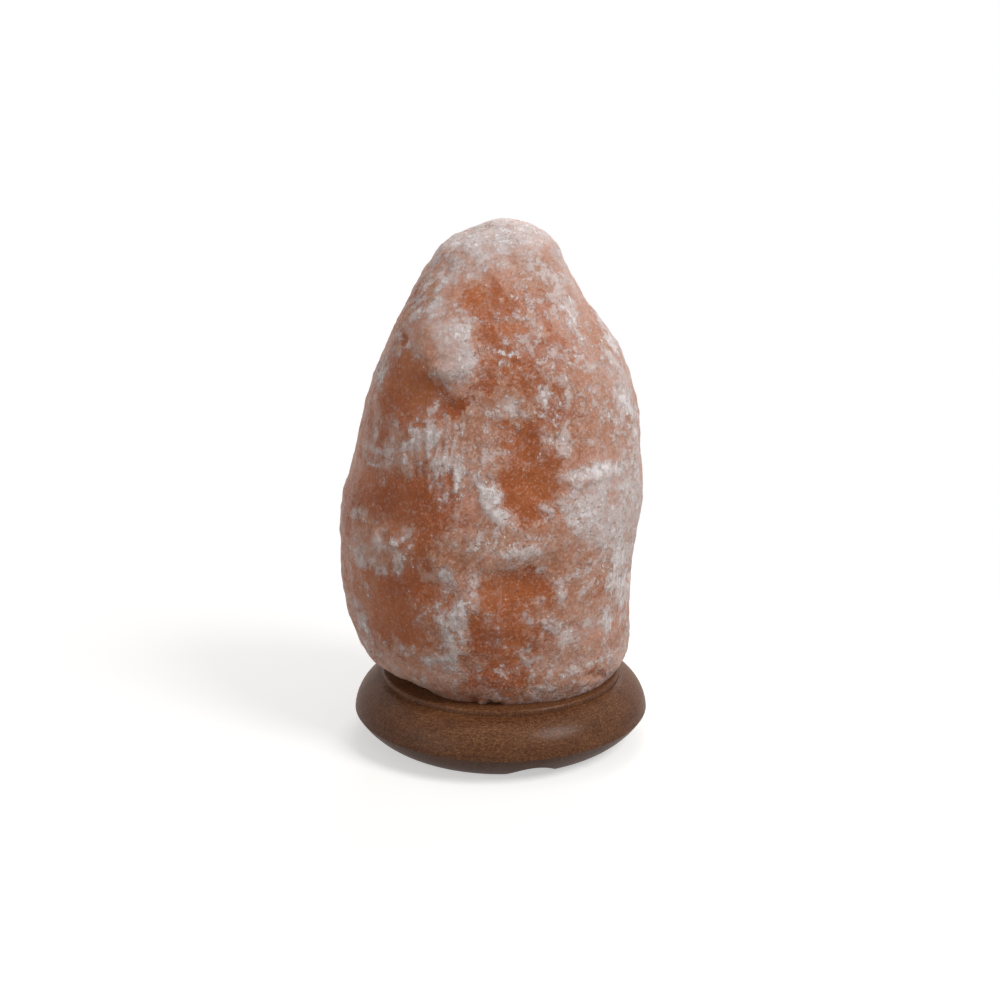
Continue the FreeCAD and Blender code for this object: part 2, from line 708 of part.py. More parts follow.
def make_spring_clips():
    """Two bowed strips, riveted to the plate, that press on the wall of the crystal's bore."""
    for name, turn in (("right_spring_clip", 0), ("left_spring_clip", 180)):
        body = new_body(name, turn)
        strip = new_sketch(body)
        draw(strip, [
            ("clip_foot_start", "recess_depth"),
            ("clip_foot_end", "recess_depth"),
            ("clip_shin_reach", "recess_depth + clip_shin_height", "clip_bow"),
            ("clip_reach", "base_height + clip_grip_height", "clip_bow"),
            ("clip_tip_reach", "base_height + clip_tip_height"),
            ("clip_tip_reach - clip_thickness", "base_height + clip_tip_height", "-clip_bow"),
            ("clip_reach - clip_thickness", "base_height + clip_grip_height", "-clip_bow"),
            ("clip_shin_reach - clip_thickness", "recess_depth + clip_shin_height"),
            ("clip_foot_end - clip_thickness", "clip_top_of_foot"),
            ("clip_foot_start", "clip_top_of_foot"),
        ])
        pad(body, strip, "clip_width", midplane=True)
        hole = new_sketch(body, "XY_Plane", out="recess_depth")
        circle(hole, "clip_rivet_place", "0", "clip_rivet_radius + rivet_clearance")
        pocket(body, hole, "3 * clip_thickness", midplane=True)


def make_clip_rivets():
    body = new_body("clip_rivets")
    rivet = turned(body, [
        ("0", "plate_underside - clip_rivet_head_height"),
        ("clip_rivet_radius", "plate_underside - clip_rivet_head_height"),
        ("clip_rivet_head_radius", "plate_underside"),
        ("clip_rivet_radius", "plate_underside"),
        ("clip_rivet_radius", "clip_top_of_foot"),
        ("clip_rivet_head_radius", "clip_top_of_foot"),
        ("clip_rivet_radius", "clip_top_of_foot + clip_rivet_head_height"),
        ("0", "clip_top_of_foot + clip_rivet_head_height"),
    ], along="clip_rivet_place")
    around(body, [rivet], "2")


def make_threaded_nipple():
    """Hollow M10 x 1 nipple: it holds the lampholder to the plate, and the cord comes in through it."""
    body = new_body("threaded_nipple")
    turned(body, [
        ("nipple_bore_radius", "nipple_bottom"),
        ("nipple_radius - nipple_chamfer", "nipple_bottom"),
        ("nipple_radius", "nipple_bottom + nipple_chamfer"),
        ("nipple_radius", "nipple_top - nipple_chamfer"),
        ("nipple_radius - nipple_chamfer", "nipple_top"),
        ("nipple_bore_radius", "nipple_top"),
    ])


def make_lock_washer():
    """Ring with slots cut in from its edge."""
    body = new_body("lock_washer")
    turned(body, [
        ("nipple_hole_radius", "washer_underside"),
        ("washer_radius", "washer_underside"),
        ("washer_radius", "plate_underside"),
        ("nipple_hole_radius", "plate_underside"),
    ])
    slot = new_sketch(body, "XY_Plane", along="washer_radius", out="plate_underside")
    draw(slot, rectangle("2 * washer_slot_depth", "washer_slot_width"))
    cut = pocket(body, slot, "2 * washer_thickness", midplane=True)
    around(body, [cut], "washer_slot_count")


def make_nipple_locknut():
    """Thin hexagon nut, its corners turned off."""
    body = new_body("nipple_locknut")
    corner = "(nut_across_flats / sqrt(3))"
    bevel = "(%s - nut_across_flats / 2)" % corner
    turned(body, [
        ("nipple_hole_radius", "nut_underside"),
        ("nut_across_flats / 2", "nut_underside"),
        (corner, "nut_underside + %s / 2" % bevel),
        (corner, "washer_underside - %s / 2" % bevel),
        ("nut_across_flats / 2", "washer_underside"),
        ("nipple_hole_radius", "washer_underside"),
    ])
    flat = new_sketch(body, "XY_Plane", along="nut_across_flats", out="nut_underside")
    draw(flat, rectangle("nut_across_flats", "2 * nut_across_flats"))
    cut = pocket(body, flat, "2 * nut_height", midplane=True)
    around(body, [cut], "6")


def make_cord_bush():
    """Moulded insulating bush in the nipple's lower end, where the cord enters."""
    body = new_body("cord_bush")
    sleeve = "nipple_bore_radius - nipple_clearance"
    turned(body, [
        ("bush_bore_radius + bush_flange_height / 2", "bush_bottom"),
        ("bush_radius - bush_flange_height / 2", "bush_bottom", "bush_flange_height / 10"),
        ("bush_radius", "nipple_bottom"),
        (sleeve, "nipple_bottom"),
        (sleeve, "bush_bottom + bush_length"),
        ("bush_bore_radius", "bush_bottom + bush_length"),
        ("bush_bore_radius", "bush_bottom + bush_flange_height / 2", "bush_flange_height / 10"),
    ])


# ---- lampholder ----

def make_holder_cap():
    """Moulded cup, screwed on the nipple, with a collar and a threaded neck for the shell."""
    body = new_body("holder_cap")
    turned(body, [
        ("nipple_hole_radius", "recess_depth"),
        ("cap_foot_radius", "recess_depth", "cap_foot_bulge"),
        ("cap_radius", "recess_depth + cap_foot_height"),
        ("cap_radius", "cap_collar_top"),
        ("cap_neck_radius", "cap_collar_top"),
        ("cap_neck_radius", "cap_top"),
        ("cap_inner_radius", "cap_top"),
        ("cap_inner_radius", "recess_depth + cap_floor"),
        ("nipple_hole_radius", "recess_depth + cap_floor"),
    ])


def make_holder_core():
    """Insulating disc between the cap's neck and the shell. It carries the contacts."""
    body = new_body("holder_core")
    turned(body, [
        ("0", "cap_top"),
        ("cap_neck_radius", "cap_top"),
        ("cap_neck_radius", "core_top - core_clearance"),
        ("thread_shell_radius", "core_top - core_clearance"),
        ("thread_shell_radius", "core_top"),
        ("0", "core_top"),
    ])
    holes = new_sketch(body, "XY_Plane", out="core_top")
    circle(holes, "-contact_rivet_left", "0", "contact_rivet_radius + rivet_clearance")
    circle(holes, "contact_rivet_right", "0", "contact_rivet_radius + rivet_clearance")
    pocket(body, holes, "3 * core_height", midplane=True)


def make_holder_shell():
    """Outer shell, screwed over the cap's neck. Its ledge clamps the core."""
    body = new_body("holder_shell")
    turned(body, [
        ("shell_inner_radius", "shell_bottom"),
        ("cap_radius", "shell_bottom"),
        ("cap_radius", "shell_shoulder", "shell_lip_round"),
        ("shell_neck_radius", "shell_neck"),
        ("shell_neck_radius", "shell_top - shell_lip_round"),
        ("shell_neck_radius - shell_lip_round", "shell_top"),
        ("shell_mouth_radius", "shell_top"),
        ("shell_mouth_radius", "core_top"),
        ("shell_inner_radius", "core_top"),
    ])


def make_thread_shell():
    """Brass screw shell with a flange that the side contact's rivet holds down."""
    body = new_body("thread_shell")
    turned(body, [
        ("thread_shell_hole", "core_top"),
        ("thread_shell_radius", "core_top"),
        ("thread_shell_radius", "core_top + thread_shell_height"),
        ("thread_radius", "core_top + thread_shell_height"),
        ("thread_radius", "flange_top"),
        ("thread_shell_hole", "flange_top"),
    ])
    thread_rib(
        body, "thread_radius + thread_rib_root", "bulb_cap_radius + thread_play",
        "bulb_tip + bulb_rib_start - thread_pitch / 2", "thread_shell_height - 3 * thread_pitch")
    hole = new_sketch(body, "XY_Plane", out="core_top")
    circle(hole, "contact_rivet_right", "0", "contact_rivet_radius + rivet_clearance")
    pocket(body, hole, "3 * thread_shell_wall", midplane=True)


def make_centre_contact():
    """Bronze tongue, riveted to the core, that springs against the bulb's tip."""
    body = new_body("centre_contact")
    tongue = new_sketch(body)
    under = "contact_top - contact_thickness"
    draw(tongue, [
        ("-contact_foot_start", "core_top"),
        ("-contact_foot_end", "core_top"),
        ("0", under),
        ("contact_tip_reach", under),
        ("contact_tip_reach + contact_curl", under + " - contact_curl"),
        ("contact_tip_reach + contact_curl", "contact_top - contact_curl"),
        ("contact_tip_reach", "contact_top"),
        ("0", "contact_top"),
        ("-contact_foot_end", "core_top + contact_thickness"),
        ("-contact_foot_start", "core_top + contact_thickness"),
    ])
    pad(body, tongue, "contact_width", midplane=True)
    hole = new_sketch(body, "XY_Plane", out="core_top")
    circle(hole, "-contact_rivet_left", "0", "contact_rivet_radius + rivet_clearance")
    pocket(body, hole, "3 * contact_thickness", midplane=True)


def make_contact_rivets():
    """One rivet for each contact, down through the core to its terminal block."""
    body = new_body("contact_rivets")
    for place in ("-contact_rivet_left", "contact_rivet_right"):
        turned(body, [
            ("0", "cap_top"),
            ("contact_rivet_radius", "cap_top"),
            ("contact_rivet_radius", "flange_top"),
            ("contact_rivet_head_radius", "flange_top"),
            ("contact_rivet_radius", "flange_top + contact_rivet_head_height"),
            ("0", "flange_top + contact_rivet_head_height"),
        ], along=place)


def make_terminal_blocks():
    """Brass blocks under the core. The wire goes in from below and the screw from the side."""
    body = new_body("terminal_blocks")
    plan = new_sketch(body, "XY_Plane", along="terminal_place", out="terminal_bottom")
    draw(plan, rectangle("terminal_width", "terminal_depth"))
    block = pad(body, plan, "terminal_height")
    wire_way = new_sketch(body, "XY_Plane", along="terminal_place", out="terminal_bottom")
    circle(wire_way, "0", "0", "terminal_wire_radius")
    drilled = pocket(body, wire_way, "terminal_wire_depth", reverse=True)
    screw_way = new_sketch(body, "YZ_Plane", up="terminal_screw_axis", out="terminal_face")
    circle(screw_way, "0", "0", "terminal_screw_radius + terminal_screw_clearance")
    tapped = pocket(body, screw_way, "terminal_width / 2")
    around(body, [block, drilled, tapped], "2")


def make_terminal_screws():
    """Slotted screws that clamp the wires."""
    body = new_body("terminal_screws")
    head = "terminal_face + terminal_screw_gap"
    end = head + " + terminal_screw_head_height"
    screw = turned(body, [
        ("terminal_place + terminal_wire_radius", "0"),
        (end, "0"),
        (end, "terminal_screw_head_radius"),
        (head, "terminal_screw_head_radius"),
        (head, "terminal_screw_radius"),
        ("terminal_place + terminal_wire_radius", "terminal_screw_radius"),
    ], up="terminal_screw_axis", axis="H_Axis")
    slot = new_sketch(body, "YZ_Plane", up="terminal_screw_axis", out=end)
    draw(slot, rectangle("terminal_screw_slot_width", "3 * terminal_screw_head_radius"))
    cut = pocket(body, slot, "terminal_screw_slot_depth")
    around(body, [screw, cut], "2")


# ---- bulb ----

def make_bulb_envelope():
    """Blown glass: a neck in the cap, a swelling and a round dome."""
    body = new_body("bulb_envelope")
    turned(body, [
        ("bulb_neck_bore", "bulb_tip + bulb_neck_start"),
        ("bulb_neck_radius", "bulb_tip + bulb_neck_start"),
        ("bulb_neck_radius", "bulb_tip + bulb_neck_end", "bulb_swell_bulge"),
        ("bulb_radius", "bulb_tip + bulb_swell_end"),
        ("bulb_radius", "bulb_dome_start", "bulb_radius * (1 - sqrt(2) / 2)"),
        ("0", "bulb_top"),
        ("0", "bulb_top - bulb_glass", "-bulb_bore_radius * (1 - sqrt(2) / 2)"),
        ("bulb_bore_radius", "bulb_dome_start"),
        ("bulb_bore_radius", "bulb_tip + bulb_swell_end", "-bulb_swell_bulge"),
        ("bulb_neck_bore", "bulb_tip + bulb_neck_end"),
    ])


def make_bulb_cap():
    """Thin brass cap with the screw thread, rolled in at the bottom and flared at the top."""
    body = new_body("bulb_cap")
    start = "bulb_tip + bulb_cap_start"
    end = "bulb_tip + bulb_cap_end"
    turned(body, [
        ("bulb_cap_radius - bulb_cap_lip", start),
        ("bulb_cap_radius", start + " + bulb_cap_lip"),
        ("bulb_cap_radius", end),
        ("bulb_skirt_radius", end + " + bulb_skirt_height"),
        ("bulb_skirt_radius - bulb_cap_wall", end + " + bulb_skirt_height"),
        ("bulb_cap_bore", end),
        ("bulb_cap_bore", start + " + bulb_cap_lip"),
        ("bulb_cap_radius - bulb_cap_lip - bulb_cap_wall", start),
    ])
    thread_rib(
        body, "bulb_cap_radius - thread_rib_root", "bulb_cap_radius + bulb_rib",
        "bulb_tip + bulb_rib_start", "bulb_rib_length")


def make_bulb_insulator():
    """Black glass between the cap and its centre contact."""
    body = new_body("bulb_insulator")
    lip = "bulb_tip + bulb_cap_start"
    mouth = "bulb_cap_radius - bulb_cap_lip - bulb_cap_wall - insulator_clearance"
    turned(body, [
        ("lead_hole_radius", "insulator_bottom"),
        ("insulator_radius", "insulator_bottom"),
        (mouth, lip + " - insulator_clearance"),
        (mouth, lip + " + bulb_cap_wall"),
        ("bulb_cap_bore - insulator_clearance", lip + " + bulb_cap_lip + bulb_cap_wall"),
        ("bulb_cap_bore - insulator_clearance", "insulator_bottom + insulator_height"),
        ("lead_hole_radius", "insulator_bottom + insulator_height"),
    ])


def make_bulb_contact():
    """Solder dome at the bulb's tip."""
    body = new_body("bulb_contact")
    turned(body, [
        ("0", "bulb_tip", "bulb_contact_height / 4"),
        ("bulb_contact_radius", "insulator_bottom"),
        ("0", "insulator_bottom"),
    ])


def make_bulb_stem():
    """Glass mount inside the neck: a flared foot and a pinched stem."""
    body = new_body("bulb_stem")
    foot = "bulb_tip + stem_flare_start"
    waist = "bulb_tip + stem_waist_start"
    turned(body, [
        ("stem_flare_radius - stem_flare_wall", foot),
        ("stem_flare_radius", foot),
        ("stem_radius", waist),
        ("stem_radius", "bulb_tip + stem_end"),
        ("0", "bulb_tip + stem_end"),
        ("0", waist),
    ])
    ways = new_sketch(body, "XY_Plane", out="bulb_tip + stem_end")
    circle(ways, "lead_place", "0", "lead_radius + lead_clearance")
    circle(ways, "-lead_place", "0", "lead_radius + lead_clearance")
    pocket(body, ways, "stem_end - stem_flare_start")


def make_bulb_leads():
    """Two wires up through the stem, spread apart to hold the filament."""
    body = new_body("bulb_leads")
    lead = wire(body, [
        ("lead_place", "bulb_tip + lead_start"),
        ("lead_place", "bulb_tip + lead_bend_start"),
        ("lead_spread", "lead_tip"),
    ], "lead_radius")
    around(body, [lead], "2")


def make_bulb_filament():
    """Fine coiled wire, bowed up from one lead to the other."""
    body = new_body("bulb_filament")
    wide = "lead_spread"
    level = "lead_tip + filament_gap + lead_radius"
    wire(body, [
        (wide, level),
        (wide, level + " + filament_radius"),
        ("0", level + " + filament_radius + filament_rise"),
        ("-" + wide, level + " + filament_radius"),
        ("-" + wide, level),
    ], "filament_radius")


for make in (
    make_wooden_base, make_salt_crystal, make_anchor_plugs, make_anchor_screws,
    make_flange_plate, make_spring_clips, make_clip_rivets, make_threaded_nipple,
    make_lock_washer, make_nipple_locknut, make_cord_bush, make_holder_cap,
    make_holder_core, make_holder_shell, make_thread_shell, make_centre_contact,
    make_contact_rivets, make_terminal_blocks, make_terminal_screws, make_bulb_envelope,
    make_bulb_cap, make_bulb_insulator, make_bulb_contact, make_bulb_stem,
    make_bulb_leads, make_bulb_filament,
):
    make()
doc.recompute()


def sub_parts():
    bodies = [item for item in doc.Objects if item.TypeId == "PartDesign::Body"]
    return bodies + [doc.getObject("salt_crystal")]


def check_model():
    """Stop before anything is written if a step failed, a cut missed, or a sub-part isn't sound."""
    for item in doc.Objects:
        if {"Invalid", "Error"} & set(item.State):
            raise RuntimeError("%s failed: %s" % (item.Name, item.State))
        if item.TypeId in ("PartDesign::Pocket", "PartDesign::Groove"):
            if item.Shape.Volume > item.BaseFeature.Shape.Volume - 1e-3:
                raise RuntimeError("%s cuts nothing" % item.Name)
    for part in sub_parts():
        if part.Shape.isNull() or not part.Shape.isValid():
            raise RuntimeError("%s has no sound shape" % part.Name)


check_model()
os.makedirs("parts", exist_ok=True)
for part in sub_parts():
    part.Label = part.Name
    part.Shape.exportStep("parts/%s.step" % part.Label)
    print("%-20s %2d solids %10.2f mm3" % (part.Label, len(part.Shape.Solids), part.Shape.Volume))
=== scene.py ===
import json
import math

import bpy
import numpy as np
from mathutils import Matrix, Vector


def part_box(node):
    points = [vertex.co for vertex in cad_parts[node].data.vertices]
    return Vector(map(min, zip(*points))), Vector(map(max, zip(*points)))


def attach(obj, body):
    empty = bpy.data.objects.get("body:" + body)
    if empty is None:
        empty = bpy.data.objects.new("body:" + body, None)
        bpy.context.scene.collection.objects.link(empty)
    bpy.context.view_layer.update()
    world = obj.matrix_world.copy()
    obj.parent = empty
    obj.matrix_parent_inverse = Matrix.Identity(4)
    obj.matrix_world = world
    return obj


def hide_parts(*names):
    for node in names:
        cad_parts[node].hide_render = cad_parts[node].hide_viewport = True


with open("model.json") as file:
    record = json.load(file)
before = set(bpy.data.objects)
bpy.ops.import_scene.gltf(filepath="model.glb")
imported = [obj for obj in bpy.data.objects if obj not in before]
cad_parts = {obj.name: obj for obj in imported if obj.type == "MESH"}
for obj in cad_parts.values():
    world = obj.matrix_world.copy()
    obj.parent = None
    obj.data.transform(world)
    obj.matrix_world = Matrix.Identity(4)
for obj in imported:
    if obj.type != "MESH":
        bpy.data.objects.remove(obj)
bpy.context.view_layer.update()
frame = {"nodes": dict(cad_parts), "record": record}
nodes = frame["nodes"]
mm = 0.001  # every size below is in millimetres, and this turns it to metres
print("frame loaded:", len(nodes), "nodes")


def linearColour(code):
    # sRGB hex to the linear light that shaders work in: a straight line at the low end, else a power curve
    steps = np.array([int(code[k:k + 2], 16) for k in (1, 3, 5)]) / 255
    light = np.where(steps <= 0.04045, steps / 12.92, ((steps + 0.055) / 1.055) ** 2.4)
    return (*light.tolist(), 1.0)


def addNode(tree, kind, settings=None, inputs=None, stops=()):
    # one shader node: settings are its own choices, inputs are numbers, colours or the sockets that feed it,
    # and stops are the (level, hex) pairs of a colour ramp
    node = tree.nodes.new("ShaderNode" + kind)
    for name, value in (settings or {}).items():
        setattr(node, name, value)
    for name, value in (inputs or {}).items():
        if isinstance(value, bpy.types.NodeSocket):
            tree.links.new(value, node.inputs[name])
        else:
            node.inputs[name].default_value = value
    for _ in range(len(stops) - 2):
        node.color_ramp.elements.new(0.5)
    for k, (level, code) in enumerate(stops):
        node.color_ramp.elements[k].position = level
        node.color_ramp.elements[k].color = linearColour(code)
    return node


def startMaterial(name, gloss):
    # an empty material with its shader, whose plain numbers are given by socket name, and its place in metres
    material = bpy.data.materials.new(name)
    material.use_nodes = True
    tree = material.node_tree
    tree.nodes.clear()
    shader = addNode(tree, "BsdfPrincipled", inputs=gloss)
    addNode(tree, "OutputMaterial", inputs={"Surface": shader.outputs["BSDF"]})
    place = addNode(tree, "TexCoord").outputs["Object"]
    return material, tree, shader, place


def weighedSum(tree, start, *parts):
    # a plain number to start from, and on top of it each part's socket times its weight
    total = start
    for part, weight in parts:
        inputs = {0: part, 1: weight, 2: total}
        total = addNode(tree, "Math", {"operation": "MULTIPLY_ADD"}, inputs).outputs[0]
    return total


eased = {"interpolation_type": "SMOOTHSTEP"}  # for a Map Range that leaves and reaches its ends gently


def cellNumber(cell, seed):
    # a steady number from 0 to 1 for each whole-number cell: its three indices, each times a prime, are
    # folded together and then mixed by shifts and multiplications
    a, b, c = (cell[..., k].astype(np.uint64) for k in range(3))
    lowBits = np.uint64(0xFFFFFFFF)
    mixed = (a * np.uint64(73856093)) ^ (b * np.uint64(19349663)) ^ (c * np.uint64(83492791))
    mixed = (mixed ^ np.uint64(seed * 2654435761)) & lowBits
    for fold, factor in ((16, 2246822507), (13, 3266489909), (16, 1)):
        mixed = ((mixed ^ (mixed >> np.uint64(fold))) * np.uint64(factor)) & lowBits
    return mixed / float(lowBits)


def softNoise(points, size, seed):
    # from -1 to 1: every corner of a cubic cell of that size holds a number, eased between the eight corners
    scaled = points / size
    corner = np.floor(scaled).astype(np.int64)
    ease = scaled - corner
    ease = ease * ease * (3 - 2 * ease)
    total = 0
    for offset in np.ndindex(2, 2, 2):
        weight = np.prod(np.where(offset, ease, 1 - ease), axis=-1)
        total = total + weight * cellNumber(corner + offset, seed)
    return total * 2 - 1


def roughNoise(points, size, seed, fall, layers=4):
    # soft noise summed over layers, each of half the size and a falling share of the height
    return sum(softNoise(points, size / 2 ** k, seed + k) * fall ** k for k in range(layers))


def scoopNoise(points, size, seed):
    # distance, in cells, to the nearest of the points strewn one to a cubic cell: bowls with sharp rims
    scaled = points / size
    corner = np.floor(scaled).astype(np.int64)
    nearest = np.full(points.shape[:-1], np.inf)
    for offset in np.ndindex(3, 3, 3):
        cell = corner + np.array(offset) - 1
        seat = np.stack([cellNumber(cell, seed + k) for k in range(3)], axis=-1)
        nearest = np.minimum(nearest, np.linalg.norm(cell + seat - scaled, axis=-1))
    return nearest


def smoothRise(value, start, end):
    # 0 below start, 1 above end, and an eased rise between them
    t = np.clip((value - start) / (end - start), 0, 1)
    return t * t * (3 - 2 * t)


def easedThrough(places, values, at):
    # a curve through rows of values: each stretch is the cubic that meets its ends with the slopes there
    slopes = np.gradient(values, places, axis=0)
    k = np.clip(np.searchsorted(places, at, side="right") - 1, 0, len(places) - 2)
    span = (places[k + 1] - places[k])[:, None]
    s = (at - places[k])[:, None] / span
    ends = (1 + 2 * s) * (1 - s) ** 2 * values[k] + s * s * (3 - 2 * s) * values[k + 1]
    return ends + span * (s * (1 - s) ** 2 * slopes[k] - s * s * (1 - s) * slopes[k + 1])


def closedSkin(name, rings, first, last):
    # rings x columns x 3 in millimetres: rings join their neighbours by four-cornered faces, and the first
    # and last ring close on one point each
    count, columns = rings.shape[:2]
    points = np.concatenate([rings.reshape(-1, 3), [first, last]]) * mm
    here = np.arange(count * columns).reshape(count, columns)
    beside = np.roll(here, -1, axis=1)
    walls = np.stack([here[:-1], here[1:], beside[1:], beside[:-1]], axis=-1).reshape(-1, 4)
    start = np.stack([np.full(columns, count * columns), here[0], beside[0]], axis=-1)
    end = np.stack([np.full(columns, count * columns + 1), beside[-1], here[-1]], axis=-1)
    mesh = bpy.data.meshes.new(name)
    mesh.from_pydata(points.tolist(), [], walls.tolist() + start.tolist() + end.tolist())
    mesh.shade_smooth()
    mesh.update()
    piece = bpy.data.objects.new(name, mesh)
    bpy.context.scene.collection.objects.link(piece)
    return piece


